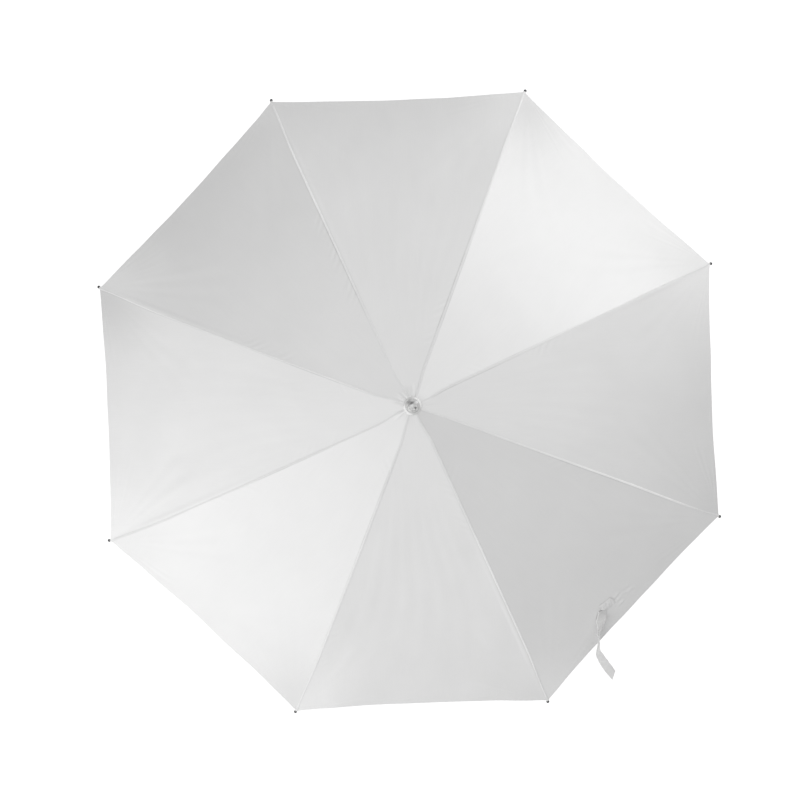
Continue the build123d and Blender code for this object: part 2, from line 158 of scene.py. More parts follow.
def hem_x(across):
    """Nominal radius at which the cloth ends, at a share across the gore."""
    across = np.asarray(across, float)
    radius = np.full(across.shape, 495.0)
    for _ in range(12):
        y = (2 * across - 1) * radius * SIN_HALF
        radius = (RIM_MID - HEM_CLIP - RIM_SAG * (1 - (y / RIM_HALF) ** 2)) / COS_HALF
    return nominal(radius)


def hem_gap(x, across):
    """Distance in plan from the hem."""
    return np.maximum((hem_x(across) - x) * COS_HALF, 0)


def seam_gaps(x, across):
    """Distances from the gore's two seams."""
    return across * chord(x), (1 - across) * chord(x)


# how far each seam runs beside its rib, towards the next rib
ASIDE = {1: 3.0, 2: 3.2, 3: 4.4, 4: 4.0, 5: 4.0, 6: 3.4, 7: 3.9, 8: 1.4}


def aside(rib, x):
    """Angle by which a seam stands beside its rib."""
    rib = (rib - 1) % RIBS + 1
    x = np.asarray(x, float)
    y = ASIDE[rib] * rise(14, 60, x) * (1 - 0.72 * rise(395, 492, x))
    if rib == 8:
        y = y - 1.6 * band(330, 430, 470, 500, x)
    return y / np.maximum(x, 8.0)


def gore_turn(gore, x, across):
    """Direction of the gore's middle, turned by the seams' shift."""
    return mid_turn(gore) + (1 - across) * aside(gore, x) + across * aside(gore + 1, x)


def plan_to_cloth(gore, plan_x, plan_y):
    """Nominal radius and share across at a point in plan."""
    offset = np.arctan2(plan_y, plan_x) - mid_turn(gore) + math.pi
    across = 0.5 + offset % math.tau / STEP - math.pi / STEP
    turn = gore_turn(gore, np.hypot(plan_x, plan_y), across)
    outward = plan_x * cos(turn) + plan_y * sin(turn)
    y = -plan_x * sin(turn) + plan_y * cos(turn)
    radius = outward / COS_HALF
    return nominal(radius), 0.5 + y / chord(radius)


def taut(gore, x, across):
    """Outer face of the gore without folds; across runs 0 to 1 from rib to next rib."""
    x, across = np.broadcast_arrays(np.asarray(x, float), np.asarray(across, float))
    radius, z = over_rib(x)
    start = rib_turn(gore) + aside(gore, x)
    end = rib_turn(gore) + STEP + aside(gore + 1, x)
    plan_x = radius * ((1 - across) * cos(start) + across * cos(end))
    plan_y = radius * ((1 - across) * sin(start) + across * sin(end))
    middle = mid_turn(gore)
    grade = np.tan(slope(np.maximum(x, 12.0))) / COS_HALF
    length = np.sqrt(1 + grade * grade)
    sag = GORE_SAG * (x / TIP_R) ** 1.6 * 4 * across * (1 - across)
    inward = sag * grade / length
    return np.stack([plan_x - inward * math.cos(middle), plan_y - inward * math.sin(middle),
                     z - sag / length], -1)


def gore_normal(gore, x, across, step_x=0.4, step_across=1e-3):
    x, across = np.asarray(x), np.asarray(across)
    down = taut(gore, x + step_x, across) - taut(gore, x - step_x, across)
    over = taut(gore, x, across + step_across) - taut(gore, x, across - step_across)
    normal = np.cross(down, over)
    return normal / np.linalg.norm(normal, axis=-1, keepdims=True)


# ---------------------------------------------------------------- folds and shading
# pairs of values below are for the gore's own rib and for the next rib
# how much each lower corner of a gore is creased, in relief and in painted light and shade
CREASED = {1: (0.9, 0.9), 2: (0.35, 0.3), 3: (0.35, 0.8), 4: (0.6, 0.6),
           5: (0.8, 0.35), 6: (0.3, 0.35), 7: (0.35, 0.45), 8: (1.0, 0.45)}
# painted light and shade: how much brighter or darker each lower corner is made
PAINTED_CORNER_LIGHT = {1: (-0.08, -0.14), 2: (0.08, 0.0), 3: (0.06, 0.13), 4: (-0.14, 0.06),
               5: (-0.04, -0.11), 6: (0.12, -0.04), 7: (0.11, 0.03), 8: (-0.02, 0.13)}
# short puckers beside a seam, in relief and in painted light and shade: gore, side, from and to
# radius, strength
PUCKERS = [
    (3, 0, 150, 310, 1.0), (3, 1, 190, 260, 0.9), (8, 1, 180, 250, 0.9), (2, 0, 95, 190, 0.9),
    (1, 0, 60, 130, 0.5), (6, 1, 120, 210, 0.5), (7, 1, 210, 300, 0.45), (5, 0, 240, 330, 0.4),
    (4, 1, 120, 200, 0.4), (8, 0, 300, 380, 0.35), (2, 1, 330, 400, 0.4), (5, 1, 80, 150, 0.5),
    (7, 0, 90, 160, 0.4), (4, 0, 60, 120, 0.5), (6, 0, 330, 420, 0.35)]
# at these radii: how strong each seam's ridge and its painted highlight are, and how dark the
# painted shadow lines on its two sides are
SEAM_AT = [60, 120, 180, 240, 300, 360, 420, 465]
RIDGE_AND_PAINTED_HIGHLIGHT = {
    1: [0, 0, .05, .1, .1, .15, .1, .1], 2: [0, 0, 0, 0, .1, .1, .15, .6],
    3: [0, .05, .15, .45, .8, 1, .95, .8], 4: [0, .35, .1, .05, 0, .1, .5, .35],
    5: [0, 0, 0, .1, .1, .05, 0, 0], 6: [0, 0, .35, .45, .3, .35, .35, .4],
    7: [0, .15, .25, .8, .85, .75, .9, .6], 8: [.1, .1, .4, .5, .9, 1, .9, .2]}
PAINTED_SEAM_SHADOW = {
    1: ([.3, .6, .8, .5, .1, 0, 0, .2], [.5, 1, 1.2, .8, .1, 0, 0, 0]),
    2: ([.4, 1, 1.2, .8, .1, 0, 0, 0], [0, .2, .4, .5, .3, .2, .1, .1]),
    3: ([0, .1, .8, 1.3, 1, .5, .2, .2], [.1, .2, .1, 0, 0, 0, 0, 0]),
    4: ([.1, .9, .9, .4, .1, .5, .5, .4], [0, .1, .4, .3, 0, 0, .4, .6]),
    5: ([0, .1, 1.1, 1, .2, .1, 1, 1], [.3, .7, .9, .7, .3, .4, .3, .1]),
    6: ([.3, .5, .3, .2, .1, .1, .1, 0], [.4, .4, .5, .2, .3, .3, .1, .2]),
    7: ([.3, .3, .4, .4, .3, .2, .2, 0], [0, 0, .2, .8, .9, .6, .1, 0]),
    8: ([.1, .2, .2, .1, .1, .3, .1, 0], [.8, .7, .3, .1, .1, 0, 0, .6])}
# where each seam starts to show beside the collar, from the shaft's axis
SEAM_FROM = {1: 30, 2: 17, 3: 70, 4: 24, 5: 66, 6: 20, 7: 18, 8: 46}
# broad soft waves: length, direction in radians, height
BROAD_WAVES = [(150, 0.3, 0.42), (97, 1.4, 0.26), (71, 2.3, 0.16), (121, 2.9, 0.3),
               (52, 0.9, 0.07)]


def gathers(gore, x, across):
    """Gathers round the apex: pattern from -1 to 1, strength, and direction in plan."""
    turn = mid_turn(gore) + np.arctan2((2 * across - 1) * SIN_HALF, COS_HALF)
    wave = (0.62 * sin(turn * 14 + 2.4 * sin(turn * 3 + 0.6) + x * 0.07)
            + 0.38 * sin(turn * 23 + 2.7 * sin(turn * 5) - x * 0.11))
    strength = 0.22 + 0.78 * rise(-0.30, 0.75, cos(turn - math.radians(158)))
    return wave, strength, turn


def creases(gore, x, across):
    """Creases at the corners and puckers beside the seams: height, and the painted light and shade
    of their sides.
    """
    x, across = np.broadcast_arrays(np.asarray(x, float), np.asarray(across, float))
    gaps = seam_gaps(x, across)
    below = hem_gap(x, across)
    height, tone = np.zeros(x.shape), np.zeros(x.shape)
    for side, gap in enumerate(gaps):
        strength = CREASED[gore][side]
        # polar place about the corner: 0 along the hem, a quarter turn along the seam
        reach = np.sqrt(gap ** 2 + below ** 2)
        turn = np.arctan2(below, np.maximum(gap, 0.01))
        wobble = 0.9 * sin(reach / 23.0 + 2.1 * gore + side) + 0.5 * sin(reach / 9.0 + gore)
        fan = sin(46 * turn + wobble + 1.3 * gore)
        where = (rise(12, 26, reach) * fall(40 + 22 * sin(9 * turn + gore), 104, reach)
                 * band(0.02, 0.10, 0.45, 0.78, turn))
        where = where * (0.55 + 0.45 * sin(17 * turn + 0.8 * gore + 2.0 * side))
        height = height + 0.36 * strength * (reach / 80) * fan * where
        # thin folds nearly along the hem
        thin = sin(61 * turn + 1.4 * sin(reach / 31.0 + gore) + 0.9 * gore + side)
        thin = np.maximum(thin, 0.0) ** 3 - 0.35 * np.maximum(-thin, 0.0) ** 2
        where = band(12, 30, 74, 128, reach) * band(0.05, 0.12, 0.30, 0.48, turn)
        height = height + 0.20 * strength * (reach / 80) * thin * where
        # painted light and shade along the corner folds
        tone = tone + strength * (0.5 * fan + 1.0 * thin) * where
        # a few longer ones along the seam, from the corner up
        fan = sin(25 * turn + 0.4 * sin(reach / 31) + 2 * gore)
        where = band(20, 50, 110, 190, reach) * band(0.6, 0.85, 1.15, 1.4, turn)
        height = height + 0.28 * strength * (reach / 100) * fan * where
        tone = tone + 0.3 * strength * fan * where
    for owner, side, start, end, strength in PUCKERS:
        if owner != gore:
            continue
        gap = gaps[side]
        where = (band(start - 12, start + 12, end - 12, end + 12, x)
                 * band(0.0, 3.0, 7, 24, gap))
        slant = x + 0.55 * gap
        wave = (0.6 + 0.4 * sin(x / 9.0 + 2 * gore)) * sin(
            slant * math.tau / 12.5 + 1.4 * sin(slant / 17 + gore))
        height = height + 0.50 * strength * where * wave
        # painted light and shade along the puckers
        tone = tone + 0.9 * strength * where * wave
    return height, tone


def paint_gore_shading(gore, x, across):
    """Brightness factor of painted light and shade: a shadow line beside each seam, and lighter and
    darker tones at the corners, in the gathers and along the creases.
    """
    painted_shading = np.ones(np.shape(x))
    for side, gap in enumerate(seam_gaps(x, across)):
        start = SEAM_FROM[(gore + side - 1) % RIBS + 1]
        # painted shadow line beside the seam
        dark = np.interp(x, SEAM_AT, PAINTED_SEAM_SHADOW[gore][side]) * rise(start - 4, start + 16, x)
        dark = dark * (0.85 + 0.15 * sin(x / 13.0 + 2 * gore + side)
                       + 0.1 * sin(x / 5.1 + gore))
        painted_shading = painted_shading - 0.20 * dark * hump(gap, 1.9, 0.85)
        # painted light and shade round the lower corner
        corner = np.hypot(gap, 498.0 - x)
        painted_shading = painted_shading + PAINTED_CORNER_LIGHT[gore][side] * 1.15 * hump(corner, 0, 75.0)
    # painted light and shade in the gathers round the apex
    wave, strength, turn = gathers(gore, x, across)
    reach = 19.0 + 8.0 * sin(turn * 5 + 1.0) + 5.0 * sin(turn * 9)
    painted_shading = painted_shading + 0.075 * band(11.5, 14.0, reach, reach + 9.0, x) * strength * wave
    # painted light and shade along the creases and puckers
    painted_shading = painted_shading + 0.028 * creases(gore, x, across)[1]
    # painted shade of a small pleat beside the collar
    return painted_shading - 0.05 * hump(turn, math.radians(104), 0.20) * band(13, 17, 26, 34, x)


def strap_pull(x, across, outward, y):
    """Ridges in gore 7 round the strap's patch."""
    turn = gore_turn(7, x, across)
    from_x = outward * cos(turn) - y * sin(turn) - 297.0
    from_y = outward * sin(turn) + y * cos(turn) + 311.0
    cos_rim, sin_rim = math.cos(math.radians(43)), math.sin(math.radians(43))
    along, beside = from_x * cos_rim + from_y * sin_rim, -from_x * sin_rim + from_y * cos_rim + 5.0
    # ridges that leave the patch along the rim
    where = band(6, 16, 40, 56, along) * fall(8, 13, np.abs(beside - 0.06 * along))
    fan = beside / (1 + 0.012 * along)
    broken = 0.45 + 0.55 * sin(along / 4.6 + 1.3 * fan / 5.0 + 0.8) * sin(along / 7.9 - fan / 3.1)
    height = 0.85 * where * broken * sin(fan * math.tau / 5.9 + 1.5 * sin(along / 6.0) + 0.6)
    height = height + 0.34 * where * sin(along / 3.4 + fan * 0.9 + 1.2 * sin(fan / 2.7))
    # low ridges on the other side, and a dip under the patch
    behind = band(4, 12, 14, 34, -along) * fall(6, 13, np.abs(beside))
    height = height + 0.20 * behind * sin(beside * math.tau / 7.5)
    return height - 0.30 * exp(-((along - 8) ** 2 + beside ** 2) / 14.0 ** 2)


def relief(gore, x, across):
    """Height of the cloth's small folds above its taut surface."""
    x, across = np.broadcast_arrays(np.asarray(x, float), np.asarray(across, float))
    gaps = seam_gaps(x, across)
    edge = np.minimum(*gaps)
    y = (2 * across - 1) * x * SIN_HALF
    outward = x * COS_HALF
    height = np.zeros(x.shape)
    inside = rise(4, 40, edge) * rise(30, 90, x)
    for i, (length, turn, size) in enumerate(BROAD_WAVES):
        angle = turn + 0.7 * gore + i
        phase = (y * math.cos(angle) + outward * math.sin(angle)) * math.tau / length
        height = height + size * sin(
            phase + 1.7 * gore + 2.3 * i + 0.6 * sin(phase * 0.37 + i)) * inside
    # long tension lines that run down the gore
    fan = across * 9 + 0.35 * sin(x / 61 + gore)
    height = height + (0.10 * sin(math.tau * fan + gore) * band(90, 230, 380, 470, x)
                       * rise(6, 30, edge))
    height = height + creases(gore, x, across)[0]
    # the rib that runs under the cloth, beside the seam, holds it up a little
    beside = aside(gore + 1, x) * x
    tilt = SIN_HALF * sin(slope(np.maximum(x, 12.0)))
    hold = np.maximum(0.0, 1.12 * (beside + 1.7) * tilt - 0.45)
    height = height + hold * hump(gaps[1], beside, 4.2) * rise(0.0, 2.2, gaps[1])
    # fine ripples next to the seams
    for side, gap in enumerate(gaps):
        where = band(0.0, 2.5, 3.5, 11, gap) * band(40, 80, 470, 498, x)
        height = height + 0.065 * where * sin(
            (x + 0.4 * gap) * math.tau / 6.4 + 2.2 * sin(x / 37 + side * 2 + gore))
    # gathers round the apex, uneven and mostly on one side
    wave, strength, turn = gathers(gore, x, across)
    height = height + band(11, 14.5, 18, 33, x) * strength * (
        0.46 * wave + 0.06 * sin(turn * 47 + 1.7 * sin(turn * 3)))
    height = height + (0.10 * strength * band(16, 24, 34, 58, x)
                       * sin(turn * 11 + 1.6 * sin(turn * 4)) * rise(0.6, 3, edge))
    if gore == 7:
        height = height + strap_pull(x, across, outward, y)
    # hem: two layers, drawn in a little by its stitches
    below = hem_gap(x, across)
    on_cloth = below / cos(slope(x))
    height = height + 0.16 * fall(8.2, 9.2, on_cloth)
    height = height - 0.10 * hump(on_cloth, HEM_STITCH, 1.3)
    return height + 0.085 * fall(3, 17, below) * rise(4, 14, edge) * sin(
        y * math.tau / 9.3 + 1.9 * sin(y / 21 + gore) + below * 0.12)


def surface(gore, x, across, above=0.0, detail=True):
    """Points above the gore's outer face, and its normals."""
    normal = gore_normal(gore, x, across)
    height = relief(gore, x, across) if detail else 0.0
    return taut(gore, x, across) + normal * (np.asarray(height) + above)[..., None], normal


# ---------------------------------------------------------------- meshes
def make(name, mesh, attributes, sharp=None):
    """Smooth object from (vertices in mm, face arrays); sharp is an angle in degrees."""
    verts, faces = mesh
    data = bpy.data.meshes.new(name)
    loops = np.concatenate([group.ravel() for group in faces]).astype(np.int32)
    sizes = np.concatenate([np.full(len(group), group.shape[1]) for group in faces])
    starts = np.concatenate([[0], np.cumsum(sizes)[:-1]]).astype(np.int32)
    data.vertices.add(len(verts))
    data.vertices.foreach_set("co", (verts * MM).astype(np.float32).ravel())
    data.loops.add(len(loops))
    data.loops.foreach_set("vertex_index", loops)
    data.polygons.add(len(sizes))
    data.polygons.foreach_set("loop_start", starts)
    data.polygons.foreach_set("use_smooth", np.ones(len(sizes), bool))
    data.update(calc_edges=True)
    for key, values in attributes.items():
        values = np.asarray(values, np.float32)
        if values.ndim == 1:
            data.attributes.new(key, "FLOAT", "POINT").data.foreach_set("value", values)
        else:
            layer = data.attributes.new(key, "FLOAT_VECTOR", "POINT")
            layer.data.foreach_set("vector", values.ravel())
    if sharp is not None:
        data.set_sharp_from_angle(angle=math.radians(sharp))
    obj = bpy.data.objects.new(name, data)
    bpy.context.scene.collection.objects.link(obj)
    return obj


def grid_faces(rows, cols, offset=0, flip=False, closed=False):
    i = np.arange(rows - 1)[:, None]
    j = np.arange(cols if closed else cols - 1)[None, :]
    after = (j + 1) % cols
    corners = [i * cols + j, (i + 1) * cols + j, (i + 1) * cols + after, i * cols + after]
    faces = np.stack(corners, -1).reshape(-1, 4) + offset
    return faces[:, ::-1] if flip else faces


def slab(top, bottom):
    """A thin closed sheet from two matching grids (rows, cols, 3)."""
    rows, cols = top.shape[:2]
    offset = rows * cols
    faces = [grid_faces(rows, cols), grid_faces(rows, cols, offset, flip=True)]
    index = np.arange(offset).reshape(rows, cols)
    for line, flip in ((index[0], False), (index[-1], True),
                       (index[:, 0], True), (index[:, -1], False)):
        start, end = line[:-1], line[1:]
        wall = np.stack([start, end, end + offset, start + offset], -1)
        faces.append(wall[:, ::-1] if flip else wall)
    return np.concatenate([top.reshape(-1, 3), bottom.reshape(-1, 3)]), faces


def merge(parts):
    """Joins meshes that each have one array of quads and one of triangles."""
    starts = np.cumsum([0] + [len(verts) for verts, _ in parts[:-1]])
    faces = [np.concatenate([part[1][i] + start for part, start in zip(parts, starts)])
             for i in (0, 1)]
    return np.concatenate([verts for verts, _ in parts]), faces


# rings of one stitch: place in half lengths, fatness, lift in heights
STITCH_RINGS = np.array([(-1.0, 0.12, -0.75), (-0.82, 0.62, -0.1), (-0.35, 1.0, 0.22),
                         (0.35, 1.0, 0.22), (0.82, 0.62, -0.1), (1.0, 0.12, -0.75)])
STITCH_SIDES = 6


def stitches(centres, along, normal, length, width, height):
    """One mesh of many small raised stitches; the first three are (n, 3) arrays."""
    sideways = np.cross(normal, along)
    place, fat, lift = STITCH_RINGS.T
    rings, sides = len(place), STITCH_SIDES
    angle = np.arange(sides) * 2 * math.pi / sides
    up = (lift * height)[:, None] + fat[:, None] * sin(angle) * height / 2
    out = fat[:, None] * cos(angle) * width / 2
    verts = (centres[:, None, None, :]
             + along[:, None, None, :] * (place * length / 2)[None, :, None, None]
             + normal[:, None, None, :] * up[None, :, :, None]
             + sideways[:, None, None, :] * out[None, :, :, None])
    index = np.arange(rings * sides).reshape(rings, sides)
    caps = np.stack([index[0], index[-1][::-1]])
    offsets = (np.arange(len(centres)) * rings * sides)[:, None, None]
    quads = (grid_faces(rings, sides, flip=True, closed=True) + offsets).reshape(-1, 4)
    ends = (caps + offsets).reshape(-1, sides)
    tris = np.concatenate([ends[:, [0, i, i + 1]] for i in range(1, sides - 1)])
    return verts.reshape(-1, 3), [quads, tris]


def both(values):
    """Values of a grid's points, for both faces of a slab."""
    return np.tile(values.ravel(), 2)


def weave_map(across, along):
    """Coordinates in mm across and along the threads, for both faces of a slab."""
    across, along = np.broadcast_arrays(across, along)
    return np.tile(np.stack([across, along, 0 * across], -1).reshape(-1, 3), (2, 1))


# ---------------------------------------------------------------- materials
class Nodes:
    """A material's or world's node tree, with short ways to add nodes."""

    def __init__(self, name, kind=bpy.data.materials):
        self.block = kind.new(name)
        self.block.use_nodes = True
        self.tree = self.block.node_tree

    def feed(self, socket, value):
        """Links an output to the socket, or sets a plain value."""
        if hasattr(value, "is_output"):
            self.tree.links.new(value, socket)
        else:
            socket.default_value = value

    def node(self, kind, inputs=None, **settings):
        node = self.tree.nodes.new(kind)
        for key, value in settings.items():
            setattr(node, key, value)
        for key, value in (inputs or {}).items():
            self.feed(node.inputs[key], value)
        return node

    def surface(self, **values):
        """Inputs of the Principled shader, with _ for a space."""
        principled = next(n for n in self.tree.nodes if n.type == "BSDF_PRINCIPLED")
        for key, value in values.items():
            self.feed(principled.inputs[key.replace("_", " ")], value)

    def math(self, operation, *values, clamp=False):
        return self.node("ShaderNodeMath", dict(enumerate(values)),
                         operation=operation, use_clamp=clamp).outputs[0]

    def plus(self, first, second, clamp=False):
        return self.math("ADD", first, second, clamp=clamp)

    def times(self, first, second):
        return self.math("MULTIPLY", first, second)

    def vector_math(self, operation, *values):
        return self.node("ShaderNodeVectorMath", dict(enumerate(values)), operation=operation)

    def ramp(self, value, low, high, span=(0.3, 0.7)):
        """Maps span to low..high."""
        return self.node("ShaderNodeMapRange", {
            "From Min": span[0], "From Max": span[1], "To Min": low, "To Max": high,
            "Value": value}).outputs["Result"]

    def noise(self, vector, scale, detail=3.0, rough=0.5, distortion=0.0):
        return self.node("ShaderNodeTexNoise", {
            "Scale": scale, "Detail": detail, "Roughness": rough, "Distortion": distortion,
            "Vector": vector}).outputs["Fac"]

    def mapped(self, vector, scale, place=(0, 0, 0), turn=(0, 0, 0), kind="POINT"):
        return self.node("ShaderNodeMapping", {
            "Scale": scale, "Location": place, "Rotation": turn, "Vector": vector},
            vector_type=kind).outputs["Vector"]

    def mix(self, share, first, second):
        """Blend of two colours, each an output or (r, g, b)."""
        first, second = (color if hasattr(color, "is_output") else (*color, 1.0)
                         for color in (first, second))
        return self.node("ShaderNodeMix", {0: share, 6: first, 7: second},
                         data_type="RGBA").outputs[2]

    def bump(self, height, strength, distance):
        bump = self.node("ShaderNodeBump", {
            "Strength": strength, "Distance": distance, "Height": height})
        self.surface(Normal=bump.outputs["Normal"])

    def place(self):
        return self.node("ShaderNodeTexCoord").outputs["Object"]

    def xyz(self, vector):
        return self.node("ShaderNodeSeparateXYZ", {0: vector}).outputs

    def attribute(self, name, output="Fac"):
        return self.node("ShaderNodeAttribute", attribute_name=name).outputs[output]

    def end(self, kind, lighting, seen):
        """Output that shows one shader to camera rays and lights with the other."""
        ray = self.node("ShaderNodeLightPath").outputs["Is Camera Ray"]
        mix = self.node("ShaderNodeMixShader", {0: ray, 1: lighting, 2: seen})
        self.node(kind, {"Surface": mix.outputs[0]})


def gray(value):
    return (value,) * 3


def satin(name, tone, seed, tape=False, warm=0.0, fade_to=None, grade=None, painted_shading=False):
    """White satin: a fine weave, slow sheen changes and a little slub.

    grade is painted light and shade, a change of tone down and across the cloth; fade_to and shade
    use the mesh's "fade" and "shade" attributes, which carry a painted highlight and painted
    light and shade.
    """
    mat = Nodes(name)
    at = mat.attribute("weave", "Vector")
    x, y, _ = mat.xyz(at)
    pitch = 0.7 if tape else 0.55
    warp = mat.math("SINE", mat.times(x, math.tau / pitch))
    weft = mat.math("SINE", mat.plus(mat.times(y, math.tau / (pitch * 1.9)),
                                     mat.times(x, math.tau / (pitch * 2.5))))
    weave = mat.plus(mat.times(warp, 0.6), mat.times(weft, 0.4))
    # slow mottling of the sheen, slubs that run down the cloth, grain
    broad = mat.noise(mat.mapped(at, scale=(0.009, 0.0062, 1), place=(seed, seed * 0.7, 0)),
                      1.0, detail=2.0, rough=0.45, distortion=0.5)
    mottle = mat.noise(mat.mapped(at, scale=(0.035, 0.022, 1), place=(seed * 1.3, 4 + seed, 0)),
                       1.0, distortion=0.3)
    slub = mat.noise(mat.mapped(at, scale=(1.4, 0.02, 1), place=(seed, 0, 2)),
                     1.0, detail=2.0, rough=0.6)
    grain = mat.noise(mat.mapped(at, scale=(2.2, 1.1, 1), place=(0, seed, 1)),
                      1.0, detail=2.0, rough=0.6)
    value = mat.ramp(broad, tone * 0.989, tone * 1.009)
    value = mat.times(value, mat.ramp(mottle, 0.994, 1.006))
    value = mat.times(value, mat.ramp(slub, 0.99, 1.01))
    value = mat.times(value, mat.ramp(weave, 0.982, 1.012, span=(-1, 1)))
    # painted light and shade: a gradient down and across the cloth
    if grade:
        down = mat.times(mat.math("SUBTRACT", y, 290.0), grade[0] / 200.0)
        over = mat.times(x, grade[1] / 150.0)
        value = mat.times(value, mat.plus(mat.plus(down, over), 1.0))
    # painted light and shade from the mesh's attribute
    if painted_shading:
        value = mat.times(value, mat.attribute("painted_shading"))
    channels = (1.0, 0.9995 - warm * 0.3, 0.998 - warm)    # red, green, blue
    color = mat.node("ShaderNodeCombineColor", {
        i: mat.times(value, share) for i, share in enumerate(channels)}).outputs[0]
    # painted highlight: bright tape where the seam's ridge is strong, towards fade_to elsewhere
    if fade_to is not None:
        color = mat.mix(mat.attribute("fade"), color, gray(fade_to))
    rough = 0.46
    mat.surface(Base_Color=color, Roughness=mat.ramp(broad, rough - 0.05, rough + 0.07),
                Specular_IOR_Level=0.34, Sheen_Weight=0.16, Sheen_Roughness=0.42)
    mat.bump(mat.plus(mat.times(weave, 0.5), mat.times(grain, 0.8)),
             strength=0.35 if tape else 0.16, distance=0.00006)
    return mat.block


def thread(name, tone):
    mat = Nodes(name)
    at = mat.place()
    fleck = mat.noise(at, 1800.0, detail=2.0)
    twist = mat.node("ShaderNodeTexWave", {"Scale": 900.0, "Distortion": 1.0, "Vector": at})
    mat.surface(Base_Color=mat.mix(fleck, gray(tone * 0.9), gray(tone * 1.05)),
                Roughness=0.55, Sheen_Weight=0.2)
    mat.bump(twist.outputs["Fac"], strength=0.4, distance=0.00005)
    return mat.block


def metal(name, color, rough, grain, clouds, specks=0.35):
    """Drawn or plated steel: fine lines, cloudy roughness, faint stains."""
    mat = Nodes(name)
    at = mat.place()
    lines = mat.noise(mat.mapped(at, scale=grain), 1.0, detail=4.0, rough=0.65)
    cloud = mat.noise(at, 45.0, detail=4.0, rough=0.6, distortion=0.4)
    speck = mat.noise(at, 620.0, rough=0.6)
    stained = mat.mix(mat.ramp(cloud, 0.0, clouds, span=(0.35, 0.75)),
                      color, tuple(value * 0.72 for value in color))
    stained = mat.mix(mat.ramp(speck, 0.0, specks, span=(0.62, 0.75)),
                      stained, tuple(value * 0.5 for value in color))
    mat.surface(Base_Color=stained, Metallic=1.0, Roughness=mat.plus(
        mat.ramp(cloud, rough * 0.8, rough * 1.3),
        mat.ramp(lines, -rough * 0.3, rough * 0.3), clamp=True))
    mat.bump(lines, strength=0.12, distance=0.00008)
    return mat.block


def black_plastic():
    """Moulded plastic: fine texture, cloudy gloss, rubbed spots."""
    color, rough = (0.03, 0.03, 0.032), 0.42
    mat = Nodes("black_hub")
    at = mat.place()
    fine = mat.noise(at, 1400.0, rough=0.6)
    cloud = mat.noise(at, 70.0, detail=4.0, rough=0.6, distortion=0.3)
    rub = mat.noise(mat.mapped(at, scale=(120, 120, 900)), 1.0, detail=4.0, rough=0.7)
    worn = mat.mix(mat.ramp(rub, 0.0, 0.3, span=(0.55, 0.8)),
                   color, tuple(value * 1.6 + 0.02 for value in color))
    worn = mat.mix(mat.ramp(cloud, 0.0, 0.25, span=(0.3, 0.8)),
                   worn, tuple(value * 0.8 for value in color))
    mat.surface(Base_Color=worn, Roughness=mat.ramp(cloud, rough * 0.85, rough * 1.2),
                Specular_IOR_Level=0.5)
    mat.bump(fine, strength=0.25, distance=0.0001)
    return mat.block


def coat(material, *names):
    """Gives the named frame parts one material in every slot."""
    for name in names:
        slots = nodes[name].data.materials
        if not slots:
            slots.append(material)
        for i in range(len(slots)):
            slots[i] = material


# ---------------------------------------------------------------- cloth that follows the frame
def hub(verts):
    """The share of the cloth that the collar holds still while the rest folds down."""
    return fall(13.5, 35.0, np.hypot(verts[:, 0], verts[:, 1]))


def follow(obj, body, via=None, share="w_next", start=None):
    """Moves vertices with a body by their own share.

    via takes that body's motion off first; start names an attribute with the rest places.
    """
    group = bpy.data.node_groups.new(share + "_" + obj.name, "GeometryNodeTree")
    for way in ("INPUT", "OUTPUT"):
        group.interface.new_socket("Geometry", in_out=way, socket_type="NodeSocketGeometry")
    new, join = group.nodes.new, group.links.new
    group_in, group_out = new("NodeGroupInput"), new("NodeGroupOutput")

    def motion(name):
        info = new("GeometryNodeObjectInfo")
        info.transform_space = "RELATIVE"
        info.inputs["Object"].default_value = bodies[name]
        return info.outputs["Transform"]

    def attribute(name, kind):
        node = new("GeometryNodeInputNamedAttribute")
        node.data_type = kind
        node.inputs["Name"].default_value = name
        return node.outputs["Attribute"]

    move = motion(body)
    if via:
        inverse, product = new("FunctionNodeInvertMatrix"), new("FunctionNodeMatrixMultiply")
        join(motion(via), inverse.inputs[0])
        join(move, product.inputs[0])
        join(inverse.outputs[0], product.inputs[1])
        move = product.outputs[0]
    position = new("GeometryNodeInputPosition").outputs[0]
    moved = new("FunctionNodeTransformPoint")
    join(attribute(start, "FLOAT_VECTOR") if start else position, moved.inputs["Vector"])
    join(move, moved.inputs["Transform"])
    mix = new("ShaderNodeMix")
    mix.data_type = "VECTOR"
    join(attribute(share, "FLOAT"), mix.inputs[0])
    join(position, mix.inputs[4])
    join(moved.outputs[0], mix.inputs[5])
    place = new("GeometryNodeSetPosition")
    join(group_in.outputs[0], place.inputs["Geometry"])
    join(mix.outputs[1], place.inputs["Position"])
    join(place.outputs[0], group_out.inputs[0])
    obj.modifiers.new(share, "NODES").node_group = group


def add_part(name, mesh, material, body, follows, attributes, slot="white_satin",
             replaces=None, sharp=None):
    obj = make(name, mesh, attributes, sharp)
    obj.data.materials.append(material)
    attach(obj, body)
    for options in follows:
        follow(obj, **options)
    if replaces:
        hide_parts(replaces)


# ---------------------------------------------------------------- the canopy's gores
X_LO = 9.0
ROWS, COLS = 214, 150
# painted light and shade of each gore: its tone, and the tone's change down and across the gore
PAINTED_GORE_TONES = {1: (0.890, 0.02, -0.01), 2: (0.797, -0.02, 0.02), 3: (0.795, -0.005, 0),
         4: (0.865, -0.005, 0.05), 5: (0.905, 0.01, -0.02), 6: (0.835, -0.005, 0),
         7: (0.778, 0.055, -0.005), 8: (0.79, -0.025, 0.02)}
HEM_STITCHES = 116
thread_mat = thread("white_thread", tone=0.86)
seam_thread = thread("seam_thread", tone=0.80)


